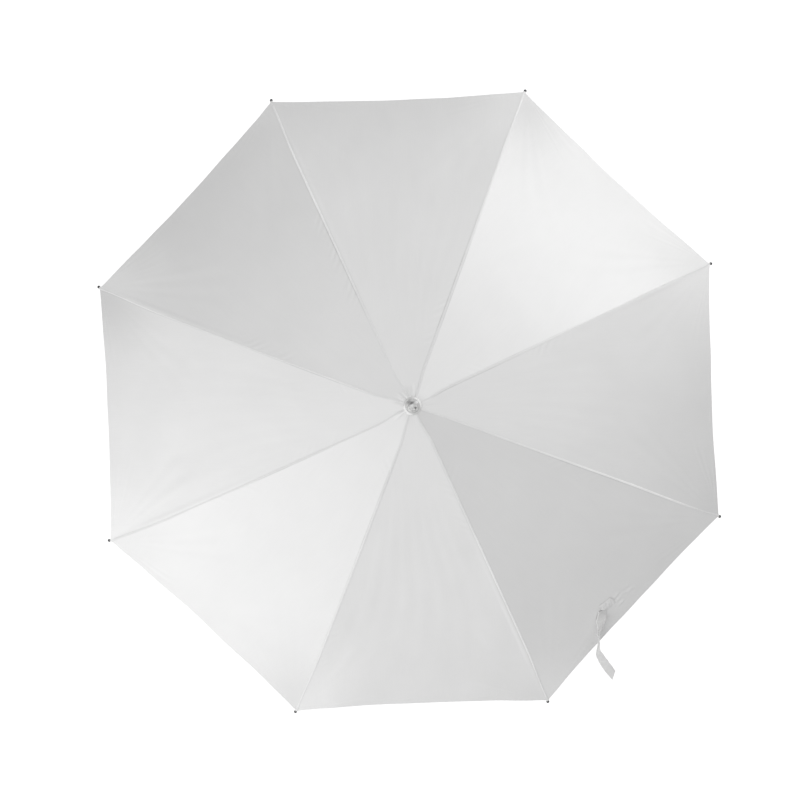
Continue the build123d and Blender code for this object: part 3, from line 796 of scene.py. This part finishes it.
def row_shares(total=488.0):
    """Rows from the apex to the hem, closer at the apex and towards the hem."""
    fine = np.linspace(0, total, 4001)
    density = 1 / (0.9 + 2.3 * rise(5, 60, fine) - 1.6 * rise(370, 440, fine)
                   - 0.75 * rise(472, 484, fine))
    count = np.concatenate([[0], np.cumsum((density[1:] + density[:-1]) / 2)])
    return np.interp(np.linspace(0, count[-1], ROWS + 1), count, fine) / total


row_share = row_shares()
even = np.linspace(0, 1, COLS + 1)
col_share = 0.55 * even + 0.45 * (0.5 - 0.5 * cos(math.pi * even))    # closer at the seams


def add_gore(k, follow_next):
    across = np.broadcast_to(col_share[None, :], (ROWS + 1, COLS + 1))
    hem = hem_x(across)
    x = X_LO + (hem - X_LO) * row_share[:, None]
    top, normal = surface(k, x, across)
    gap = (hem - x) * COS_HALF / cos(slope(x))
    # thicker at the hem, rounded at its edge
    edge = fall(0.0, 0.9, gap)
    thick = 0.30 + 0.26 * fall(8.4, 8.9, gap) - 0.30 * edge
    top = top - normal * (0.16 * edge)[..., None]
    mesh = slab(top, top - normal * thick[..., None])
    # each gore's material carries its painted tone, gradient and shading
    add_part(f"gore_{k}", mesh,
             satin(f"satin_{k}", PAINTED_GORE_TONES[k][0], seed=3.1 * k, grade=PAINTED_GORE_TONES[k][1:], painted_shading=True),
             f"rib_{k}", [follow_next, dict(body="frame", share="w_hub", start="home")],
             {"w_next": both(across), "weave": weave_map((across - 0.5) * chord(x), arc_length(x)),
              "w_hub": hub(mesh[0]), "home": mesh[0] * MM,
              "painted_shading": np.concatenate([paint_gore_shading(k, x, across).ravel(), np.ones(x.size)])},
             replaces=f"canopy_panel_{k}", sharp=50)


def add_hem_thread(k, follow_next, step=1e-3):
    across = 0.012 + (np.arange(HEM_STITCHES) + 0.5) / HEM_STITCHES * 0.976
    hem = hem_x(across)
    x = hem - HEM_STITCH * cos(slope(hem)) / COS_HALF
    points, normal = surface(k, x, across, 0.02)
    ahead, _ = surface(k, x, across + step, 0.02, detail=False)
    here, _ = surface(k, x, across, 0.02, detail=False)
    length = np.linalg.norm(ahead - here, axis=1)
    along = (ahead - here) / length[:, None]
    mesh = stitches(points, along, normal, length=2.3, width=0.42, height=0.26)
    each = len(mesh[0]) // HEM_STITCHES
    offset = ((mesh[0] - np.repeat(points, each, 0)) * np.repeat(along, each, 0)).sum(1)
    add_part(f"hem_thread_{k}", mesh, thread_mat, f"rib_{k}", [follow_next],
             {"w_next": np.repeat(across, each) + offset / np.repeat(length / step, each)})


for k in range(1, RIBS + 1):
    follow_next = dict(body=f"rib_{k % RIBS + 1}")
    add_gore(k, follow_next)
    add_hem_thread(k, follow_next)

# ---------------------------------------------------------------- seams beside the ribs
# seam tape with a painted highlight, full white where its ridge is strong, greyer elsewhere
seam_mat = satin("satin_seam", 1.0, seed=7.7, tape=True, fade_to=0.80)
# profile across a seam: place in half widths, height
SEAM_PROFILE = np.array([
    (-1.0, 0.02), (-0.93, 0.26), (-0.8, 0.36), (-0.55, 0.43), (-0.25, 0.49), (0.0, 0.50),
    (0.25, 0.48), (0.5, 0.42), (0.62, 0.36), (0.68, 0.24), (0.86, 0.19), (0.97, 0.13), (1.0, 0.02)])
SEAM_T, SEAM_EDGE_T = 0.40, 0.22
SEAM_ROWS_OF_STITCHES = (-0.45, 0.82)    # place in half widths


def ridge(rib, x):
    return np.interp(x, SEAM_AT, RIDGE_AND_PAINTED_HIGHLIGHT[rib])


def seam_line(rib, x, share, half_width, above=0.0):
    """Line down a seam at a share of its half width: points, outward and downhill."""
    turn = rib_turn(rib) + aside(rib, x)
    radial = np.stack([cos(turn), sin(turn), np.zeros_like(turn)], -1)
    sideways = np.stack([-sin(turn), cos(turn), np.zeros_like(turn)], -1)
    up = np.array([0, 0, 1.0])
    radius, z = over_rib(x)
    angle = slope(x)
    outward = radial * sin(angle)[:, None] + up * cos(angle)[:, None]
    along = radial * cos(angle)[:, None] - up * sin(angle)[:, None]
    middle = radial * radius[:, None] + up * z[:, None]
    y = share * half_width + 0.04 * sin(x / 2.6 + rib)
    start = SEAM_FROM[rib]
    full = rise(start - 8, start + 26, x) * (1 - 0.6 * rise(468, 498, x))
    full = full * (0.55 + 0.45 * ridge(rib, x))
    wobble = (0.10 * sin(x / 6.1 + 1.7 * rib) + 0.07 * sin(x / 2.3 + rib)
              + 0.05 * sin(x / 1.1 + 3 * rib))
    drop = SIN_HALF * sin(angle) * (np.sqrt(y * y + 0.16) - 0.4)
    lift = (np.interp(share, *SEAM_PROFILE.T) * (0.25 + 0.75 * full)
            + wobble * 0.3 * (1 - share * share) * full - drop)
    return middle + sideways * y[:, None] + outward * (lift + above)[:, None], outward, along


def add_seam(k):
    x = np.concatenate([np.linspace(12.2, 40, 36), np.linspace(41.5, 500.6, 330)])
    half = 1.30 + 0.07 * sin(x / 19 + k) - 0.35 * fall(12, 60, x) + 0.7 * rise(482, 500, x)
    half = half + 0.25 * ridge(k, x)
    shares = SEAM_PROFILE[:, 0]
    lines = [seam_line(k, x, share, half) for share in shares]
    top = np.stack([line[0] for line in lines], 1)
    thick = np.full(len(shares), SEAM_T)
    thick[[0, -1]] = SEAM_EDGE_T
    mesh = slab(top, top - lines[0][1][:, None, :] * thick[None, :, None])
    # painted highlight along the seam, strongest where its ridge is
    strength = ridge(k, x) * rise(40, 80, x) * (1 - 0.5 * rise(480, 498, x))
    strength = strength * (0.9 + 0.1 * sin(x / 11.0 + k))
    add_part(f"seam_{k}", mesh, seam_mat, f"rib_{k}", [dict(body="frame", share="w_hub")],
             {"weave": weave_map(shares[None, :] * 1.5, arc_length(x)[:, None]),
              "fade": both(np.broadcast_to((1 - strength)[:, None], top.shape[:2])),
              "w_hub": hub(mesh[0])}, sharp=55)


def add_seam_thread(k):
    x = np.arange(17.0, 497.0, 2.28)
    parts = []
    for share in SEAM_ROWS_OF_STITCHES:
        points, outward, along = seam_line(k, x, share, 1.25 + 0.2 * ridge(k, x), above=0.03)
        parts.append(stitches(points, along, outward, length=1.9, width=0.28, height=0.17))
    mesh = merge(parts)
    add_part(f"seam_thread_{k}", mesh, seam_thread, f"rib_{k}",
             [dict(body="frame", share="w_hub")], {"w_hub": hub(mesh[0])})


for k in range(1, RIBS + 1):
    add_seam(k)
    add_seam_thread(k)

# ---------------------------------------------------------------- strap, on gore 7
OUT_X, OUT_Y = math.cos(mid_turn(7)), math.sin(mid_turn(7))    # outward across the rim
# the tape's two edges leave the patch flat on the cloth, the tape stands on edge at the hem,
# then turns flatter again
LOWER_ON_CLOTH = [    # x, y, height over the cloth
    (283.2, -316.6, 0.62), (282.9, -322.4, 1.0), (283.6, -339.2, 1.3), (285.7, -356.3, 1.8)]
LOWER_FREE = [    # x, y, z
    (286.0, -370.2, 523.4), (284.8, -380.3, 517.0), (285.9, -391.3, 508.5),
    (297.8, -411.3, 491.5), (312.8, -430.1, 479.0)]
UPPER_ON_CLOTH = [(298.4, -311.6, 0.62), (297.2, -320.9, 1.2)]
UPPER_FREE = [    # x, y, height over the lower edge
    (291.4, -337.7, 11.5), (286.7, -352.9, 15.2), (287.8, -366.8, 15.2), (289.0, -376.8, 14.4),
    (297.0, -388.2, 11.0), (308.8, -403.9, 7.0), (317.2, -415.4, 4.0)]
STATIONS = 170
TAPE_COLS = np.concatenate([[-1.0, -0.975, -0.93], np.linspace(-0.88, 0.88, 21),
                            [0.93, 0.975, 1.0]])
TAPE_STITCH = 0.82    # edge stitches, in half widths
STRAP_NEXT = 0.42     # share by which the strap follows rib 8


def on_gore_7(plan_x, plan_y, above=0.0):
    x, across = plan_to_cloth(7, plan_x, plan_y)
    return surface(7, x, across, above, detail=False)


def lay_on_cloth(rows):
    x, y, above = np.array(rows).T
    return np.column_stack([x, y, on_gore_7(x, y, above)[0][:, 2]])


def sewn(verts):
    """The tape's share that stays on the cloth: all of it as far as the patch's edge."""
    return fall(3.0, 12.0, verts[:, 0] * OUT_X + verts[:, 1] * OUT_Y - 430.8)


def through(points, at):
    """Catmull-Rom curve through the points, at a fractional index."""
    i = min(int(at), len(points) - 2)
    part = at - i
    before, here = points[max(i - 1, 0)], points[i]
    after, beyond = points[i + 1], points[min(i + 3 - 1, len(points) - 1)]
    return 0.5 * (2 * here + (after - before) * part
                  + (2 * before - 5 * here + 4 * after - beyond) * part ** 2
                  + (3 * here - before - 3 * after + beyond) * part ** 3)


def tape():
    """Top and bottom grids, place across, and each station's (along, width, normal), distance."""
    lower = np.vstack([lay_on_cloth(LOWER_ON_CLOTH), LOWER_FREE])
    free = np.array(UPPER_FREE)
    free[:, 2] += lower[len(UPPER_ON_CLOTH):, 2]
    upper = np.vstack([lay_on_cloth(UPPER_ON_CLOTH), free])
    share = TAPE_COLS
    from_middle = np.abs(share)
    thick = 0.26 + 0.14 * ((from_middle > 0.86) & (from_middle < 0.99))
    dip = -0.10 * hump(from_middle, TAPE_STITCH, 0.03)
    end = len(lower) - 1.0
    top, bottom, places, axes, distances = [], [], [], [], []
    distance, last = 0.0, None
    for i in range(STATIONS):
        at = i * end / (STATIONS - 1)
        low, high = through(lower, at), through(upper, at)
        point = (low + high) / 2
        ahead, behind = min(at + 0.05, end), max(at - 0.05, 0.0)
        along = (through(lower, ahead) + through(upper, ahead)
                 - through(lower, behind) - through(upper, behind))
        along /= np.linalg.norm(along)
        width = high - low
        half = float(np.clip(np.linalg.norm(width) / 2, 7.4, 8.1))
        width /= np.linalg.norm(width)
        normal = np.cross(width, along)
        normal /= np.linalg.norm(normal)
        if last is not None:
            distance += float(np.linalg.norm(point - last))
        last = point
        cup = 0.55 * math.sin(at * 0.9 + 0.6) * (1 - share * share)
        ripple = (0.22 * sin(distance / 4.2 + 1.6 * share) * math.sin(at * 1.3 + 0.4)
                  + 0.12 * sin(distance / 1.9 + 3 * share))
        fold = (0.55 * hump(distance, 98.0 + 3.0 * share, 1.9)
                - 0.5 * hump(distance, 103.0 + 4.0 * share, 1.7))
        free_share = 0.15 + 0.85 * float(rise(4, 26, distance))
        middle = (cup + ripple) * free_share + fold + dip * 0.4
        y = share * half * (1 - 0.012 * math.sin(distance / 7.0))
        top.append(point + np.outer(y, width) + np.outer(middle + thick, normal))
        bottom.append(point + np.outer(y, width) + np.outer(middle - thick, normal))
        places.append(y)
        axes.append((along, width, normal))
        distances.append(distance)
    return [np.array(values) for values in (top, bottom, places, axes, distances)]


def paint_tape_shading(share, distance):
    # painted light and shade: darker near the patch with a lit strip along one edge, a shadowed
    # edge further on, and a shaded band across a fold
    edge = rise(-0.92, -0.72, share)
    painted_tape_shading = 1 - 0.20 * fall(38, 56, distance) * edge + 0.07 * fall(40, 60, distance) * (1 - edge)
    painted_tape_shading = painted_tape_shading - 0.16 * band(48, 56, 68, 76, distance) * fall(-0.96, -0.84, share)
    return painted_tape_shading - 0.06 * hump(distance, 84.0 + 5 * share, 5.5)


def add_strap_part(name, mesh, material, attributes, **options):
    verts = mesh[0]
    add_part(name, mesh, material, "strap",
             [dict(body="rib_7", share="w_root"), dict(body="rib_8", via="rib_7")],
             {**attributes, "w_next": np.full(len(verts), STRAP_NEXT), "w_root": sewn(verts)},
             slot="strap_webbing", **options)


def add_strap():
    top, bottom, places, axes, distances = tape()
    verts, faces = slab(top, bottom)
    # painted light and shade on the tape
    painted_tape_shading = paint_tape_shading(TAPE_COLS[None, :], distances[:, None])
    add_strap_part("strap_tape", (verts, [group[:, ::-1] for group in faces]),
                   satin("satin_strap", 0.84, seed=21.0, tape=True, warm=0.004, painted_shading=True),
                   {"weave": weave_map(places, distances[:, None]), "painted_shading": both(painted_tape_shading)},
                   replaces="tie_strap", sharp=60)

    def column(share):
        return int(np.argmin(np.abs(TAPE_COLS - share)))

    def station(distance):
        return np.clip(np.searchsorted(distances, distance), 1, STATIONS - 1)

    # on both faces: stitches along the edges, and two rows across the free end
    parts = []
    for grid, face in ((top, 1), (bottom, -1)):
        for share in (-TAPE_STITCH, TAPE_STITCH):
            at, j = np.arange(4.0, distances[-1] - 3.0, 2.6), column(share)
            i = station(at)
            part = ((at - distances[i - 1]) / (distances[i] - distances[i - 1]))[:, None]
            parts.append(stitches(grid[i - 1, j] * (1 - part) + grid[i, j] * part, axes[i, 0],
                                  axes[i, 2] * face, length=2.0, width=0.4, height=0.28))
        for back in (3.0, 9.0):
            i = station(distances[-1] - back)
            centres = np.array([grid[i, column(s)] for s in np.arange(-0.76, 0.77, 0.30)])
            count = len(centres)
            parts.append(stitches(centres, np.repeat([axes[i, 1]], count, 0),
                                  np.repeat([axes[i, 2] * face], count, 0),
                                  length=1.9, width=0.4, height=0.28))
    add_strap_part("strap_thread", merge(parts), thread_mat, {})


# ---------------------------------------------------------------- patch at the strap's root
PATCH_ROWS, PATCH_COLS = 49, 31
PATCH_LONG, PATCH_WIDE = 11.6, 7.0    # half sizes along the rim and across it
PATCH_X, PATCH_Y = 301.4 - 3.0 * OUT_X, -307.8 - 3.0 * OUT_Y
ROW, END_ROW, CROSS = np.linspace(-0.84, 0.84, 11), np.linspace(-0.55, 0.55, 4), \
    np.linspace(-0.9, 0.9, 8)
# stitches: step along each row in grid cells, places in half sizes
PATCH_STITCHES = [
    ((1, 0), [(t, side * 0.74) for side in (-1, 1) for t in ROW]),
    ((0, 1), [(side * 0.87, t) for side in (-1, 1) for t in END_ROW]),
    ((2, 1), [(t * 0.8, t * 0.62) for t in CROSS]),
    ((2, -1), [(t * 0.8, -t * 0.62) for t in CROSS])]


def add_patch():
    """A small piece of the same cloth, stitched round and crosswise."""
    rim, out = np.meshgrid(np.linspace(-1, 1, PATCH_ROWS), np.linspace(-1, 1, PATCH_COLS),
                           indexing="ij")
    along = rim * PATCH_LONG * (1.0 + 0.05 * sin(3 * out + 1))
    over = out * PATCH_WIDE + 0.6 * sin(rim * 2.2) + 1.2 * rim
    plan_x = PATCH_X - OUT_Y * along + OUT_X * over
    plan_y = PATCH_Y + OUT_X * along + OUT_Y * over
    edge = np.minimum(1 - np.abs(rim), (1 - np.abs(out)) * 0.6)
    # turned edge, stitch groove, raised middle with creases, one slanting fold
    lift = (0.35 + 0.75 * rise(0.0, 0.10, edge) - 0.30 * hump(edge, 0.14, 0.035)
            + 0.55 * rise(0.16, 0.34, edge) * (0.6 + 0.4 * sin(rim * 7 + out * 3.0))
            + 0.16 * sin(rim * 15 + 3 * sin(out * 2)) * rise(0.05, 0.2, edge)
            + 0.3 * hump(out, 0.12 - 0.3 * rim, 0.13) * rise(0.1, 0.3, edge))
    points, normal = on_gore_7(plan_x, plan_y)
    top = points + normal * lift[..., None]
    bottom = points + normal * np.minimum(0.30, lift - 0.04)[..., None]
    across = plan_to_cloth(7, plan_x, plan_y)[1]
    add_part("patch_cloth", slab(top, bottom), satin("satin_patch", 0.805, seed=31.0, tape=True),
             "rib_7", [dict(body="rib_8")],
             {"w_next": both(across), "weave": weave_map(rim * 12, out * PATCH_WIDE)},
             replaces="strap_patch", sharp=60)

    def at(i, j):
        return top[min(max(i, 0), PATCH_ROWS - 1), min(max(j, 0), PATCH_COLS - 1)]

    centres, alongs, normals, shares = [], [], [], []
    for (step_i, step_j), places in PATCH_STITCHES:
        for rim_at, out_at in places:
            i = int((rim_at + 1) / 2 * (PATCH_ROWS - 1))
            j = int((out_at + 1) / 2 * (PATCH_COLS - 1))
            along = at(i + step_i, j + step_j) - at(i - step_i, j - step_j)
            centres.append(top[i, j])
            alongs.append(along / np.linalg.norm(along))
            normals.append(normal[i, j])
            shares.append(float(across[i, j]))
    mesh = stitches(np.array(centres), np.array(alongs), np.array(normals),
                    length=1.8, width=0.42, height=0.34)
    add_part("patch_thread", mesh, thread_mat, "rib_7", [dict(body="rib_8")],
             {"w_next": np.repeat(shares, len(mesh[0]) // len(centres))})


add_strap()
add_patch()


# ---------------------------------------------------------------- finishes of the frame's own parts
def collar_finish():
    """Glossy white ring with painted light: brighter on two opposite sides, painted shade between
    them, and a little random grime.
    """
    mat = Nodes("white_collar")
    at = mat.place()
    x, y, _ = mat.xyz(at)
    turn = mat.math("ARCTAN2", y, x)
    # painted light on two opposite sides and painted shade between them, with random grime
    sides = mat.math("COSINE", mat.times(mat.math("SUBTRACT", turn, math.radians(40)), 2.0))
    grime = mat.noise(at, 420.0, rough=0.6, distortion=0.8)
    lit_sides_and_grime = mat.plus(mat.ramp(sides, 0.0, 1.0, span=(-0.5, 0.45)),
                     mat.ramp(grime, -0.25, 0.25), clamp=True)
    mat.surface(Base_Color=mat.mix(lit_sides_and_grime, (0.66, 0.66, 0.655), (1.0, 1.0, 0.995)),
                Roughness=mat.ramp(grime, 0.16, 0.30))
    mat.bump(grime, strength=0.25, distance=0.0002)
    return mat.block


# painted reflections on the dome, dark and bright spots: x, y and size in mm, stretch along x, turn
# in radians, tone
DOME_PAINTED_REFLECTIONS = [
    (-1.9, 4.2, 2.3, 1.9, 0.45, 0.24), (-5.4, 5.6, 2.2, 1.4, 0.5, 0.42),
    (3.9, -2.4, 2.0, 1.0, 0.0, 0.26), (6.6, 6.0, 2.3, 1.0, 0.0, 1.0),
    (1.7, -4.4, 1.5, 1.0, 0.0, 1.0), (-4.4, -5.6, 1.3, 1.0, 0.0, 0.98),
    (-1.0, 0.6, 2.2, 1.8, 0.7, 0.92), (4.9, -0.2, 1.0, 1.0, 0.0, 0.98)]


def dome_finish():
    """Bright dome, slightly dented and smudged, with painted reflections: blotches and dark and
    bright spots.
    """
    mat = Nodes("dome_metal")
    at = mat.place()
    dent = mat.noise(at, 330.0, detail=2.0, distortion=1.6)
    fine = mat.noise(at, 800.0, detail=2.0, distortion=0.6)
    smudge_and_reflection = mat.noise(mat.mapped(at, scale=(1, 1, 1), place=(0.013, 0.004, 0)),
                       300.0, rough=0.55, distortion=2.4)
    # painted reflections: random blotches of lighter and darker grey
    color = mat.mix(mat.ramp(smudge_and_reflection, 0.0, 1.0, span=(0.42, 0.60)),
                    (0.84, 0.84, 0.835), gray(0.60))
    # painted reflections: placed dark and bright spots
    for x, y, size, stretch, turn, tone in DOME_PAINTED_REFLECTIONS:
        local = mat.mapped(at, scale=(stretch, 1.0, 1.0), place=(x * MM, y * MM, 0),
                           turn=(0, 0, turn), kind="TEXTURE")
        flat = mat.vector_math("MULTIPLY", local, (1, 1, 0)).outputs["Vector"]
        far = mat.vector_math("LENGTH", flat).outputs["Value"]
        wavy = mat.plus(far, mat.ramp(fine, -0.0006, 0.0006))
        inside = mat.ramp(wavy, 1.0, 0.0, span=(size * 0.5 * MM, size * 1.25 * MM))
        color = mat.mix(inside, color, gray(tone))
    # painted highlight: a paler band where the dome turns down to its rim
    rim = mat.ramp(mat.xyz(at)[2], 0.0, 0.6, span=(0.7490, 0.7475))
    mat.surface(Base_Color=mat.mix(rim, color, (0.80, 0.80, 0.79)), Metallic=0.2,
                Coat_Weight=0.6, Coat_Roughness=0.06, Roughness=mat.ramp(smudge_and_reflection, 0.14, 0.3))
    mat.bump(mat.plus(dent, mat.times(fine, 0.25)), strength=1.0, distance=0.0030)
    return mat.block


RIB_LENGTH, BEAD_BEYOND = 551.0, 8.7    # along the rib's curve, then straight on


def bead_finish(k):
    """Dark glossy bead on a pale neck."""
    mat = Nodes(f"tip_finish_{k}")
    at = mat.place()
    end = ROOT_SLOPE + RIB_LENGTH / ARC_R
    radius = ARC_X + ARC_R * math.sin(end) + BEAD_BEYOND * math.cos(end)
    z = ARC_Z + ARC_R * math.cos(end) - BEAD_BEYOND * math.sin(end)
    turn = rib_turn(k)
    centre = (radius * math.cos(turn) * MM, radius * math.sin(turn) * MM, z * MM)
    far = mat.vector_math("DISTANCE", at, centre).outputs["Value"]
    neck = mat.ramp(far, 0.0, 1.0, span=(0.00232, 0.00255))
    fleck = mat.noise(at, 900.0)
    dark = mat.mix(fleck, (0.028, 0.028, 0.03), (0.06, 0.06, 0.062))
    pale = mat.mix(fleck, (0.62, 0.62, 0.61), (0.72, 0.72, 0.71))
    mat.surface(Base_Color=mat.mix(neck, dark, pale), Roughness=mat.ramp(fleck, 0.25, 0.38))
    mat.bump(fleck, strength=0.15, distance=0.0001)
    return mat.block


coat(metal("chrome_tube_drawn", (0.78, 0.78, 0.79), rough=0.14, grain=(900, 900, 25), clouds=0.15),
     "shaft")
coat(black_plastic(), "top_notch", "runner", "end_plug")
coat(metal("bright_wire", (0.66, 0.66, 0.67), rough=0.22, grain=(400, 400, 400), clouds=0.3),
     "notch_wire", "runner_wire")
coat(metal("turned_pin", (0.55, 0.55, 0.56), rough=0.28, grain=(700, 700, 700), clouds=0.4),
     "notch_pin", "stop_pins", "top_spring_pin", *[f"rib_rivet_{k}" for k in range(1, RIBS + 1)])
coat(metal("spring_leaf", (0.47, 0.46, 0.45), rough=0.32, grain=(300, 300, 30), clouds=0.5,
           specks=0.55), "top_spring")
coat(collar_finish(), "ferrule_collar")
coat(dome_finish(), "ferrule")
for k in range(1, RIBS + 1):
    for part, color, rough in (("rib", (0.58, 0.58, 0.585), 0.30),
                               ("stretcher", (0.60, 0.60, 0.605), 0.28)):
        coat(metal(f"zinc_{part}_{k}", color, rough, grain=(500, 500, 500), clouds=0.45),
             f"{part}_{k}")
    coat(bead_finish(k), f"rib_tip_{k}")


# ---------------------------------------------------------------- floor, light, camera
WHITE = (1, 1, 1, 1)


def add_floor():
    """Glows for the camera, plain pale grey for the light."""
    bpy.ops.mesh.primitive_plane_add(size=30.0, location=(0, 0, -0.0035))
    floor = bpy.context.object
    floor.name = "floor"
    mat = Nodes("pale_floor")
    mat.tree.nodes.clear()

    def diffuse(value):
        return mat.node("ShaderNodeBsdfDiffuse", {"Color": (*gray(value), 1)}).outputs[0]

    glow = mat.node("ShaderNodeEmission", {"Color": WHITE, "Strength": 0.93}).outputs[0]
    seen = mat.node("ShaderNodeAddShader", {0: glow, 1: diffuse(0.22)}).outputs[0]
    mat.end("ShaderNodeOutputMaterial", lighting=diffuse(0.55), seen=seen)
    floor.data.materials.append(mat.block)


def add_world():
    world = Nodes("studio", bpy.data.worlds)
    world.tree.nodes.clear()
    seen, lighting = (world.node("ShaderNodeBackground", {0: WHITE, 1: strength}).outputs[0]
                      for strength in (0.98, 0.549))
    world.end("ShaderNodeOutputWorld", lighting, seen)
    bpy.context.scene.world = world.block


LIGHT_AIM = (0.0, 0.0, 0.6)
# name, azimuth and elevation in degrees, distance, size, power
LIGHTS = [
    ("soft_right", 47, 24, 1.5, (1.0, 0.8), 6.9),
    ("soft_left_near", 200, 15, 2.0, (1.0, 0.8), 6.2),
    ("soft_left_far", 255, 15, 2.0, (1.0, 0.8), 4.3),
    ("high_left", 227, 50, 3.2, (1.4, 1.1), 19.0),
    ("fill_back", 92, 30, 3.2, (1.0, 0.8), 2.9),
    ("fill_right", 2, 30, 3.2, (1.0, 0.8), 1.7)]


def add_light(name, azimuth, elevation, distance, size, power):
    data = bpy.data.lights.new(name, "AREA")
    data.shape = "RECTANGLE"
    data.size, data.size_y = size
    data.energy = power
    turn, height = math.radians(azimuth), math.radians(elevation)
    away = np.array([math.cos(turn) * math.cos(height), math.sin(turn) * math.cos(height),
                     math.sin(height)])
    light = bpy.data.objects.new(name, data)
    light.location = tuple(np.array(LIGHT_AIM) + away * distance)
    light.rotation_mode = "QUATERNION"
    light.rotation_quaternion = Vector(tuple(-away)).to_track_quat("-Z", "Y")
    bpy.context.scene.collection.objects.link(light)


def add_camera():
    """Looks down on the apex, with +Y up in the picture."""
    data = bpy.data.cameras.new("camera")
    data.sensor_width = 36.0
    data.lens = 106.2
    camera = bpy.data.objects.new("camera", data)
    bpy.context.scene.collection.objects.link(camera)
    place, aim = Vector((-0.0543, 0.0861, 4.108)), Vector((-0.0153, 0.0031, 0.508))
    back = (place - aim).normalized()
    right = Vector((0, 1, 0)).cross(back).normalized()
    up = back.cross(right)
    camera.matrix_world = Matrix((*zip(right, up, back, place), (0, 0, 0, 1)))
    bpy.context.scene.camera = camera


add_floor()
add_world()
for light in LIGHTS:
    add_light(*light)
add_camera()
bpy.context.scene.view_settings.view_transform = "Standard"
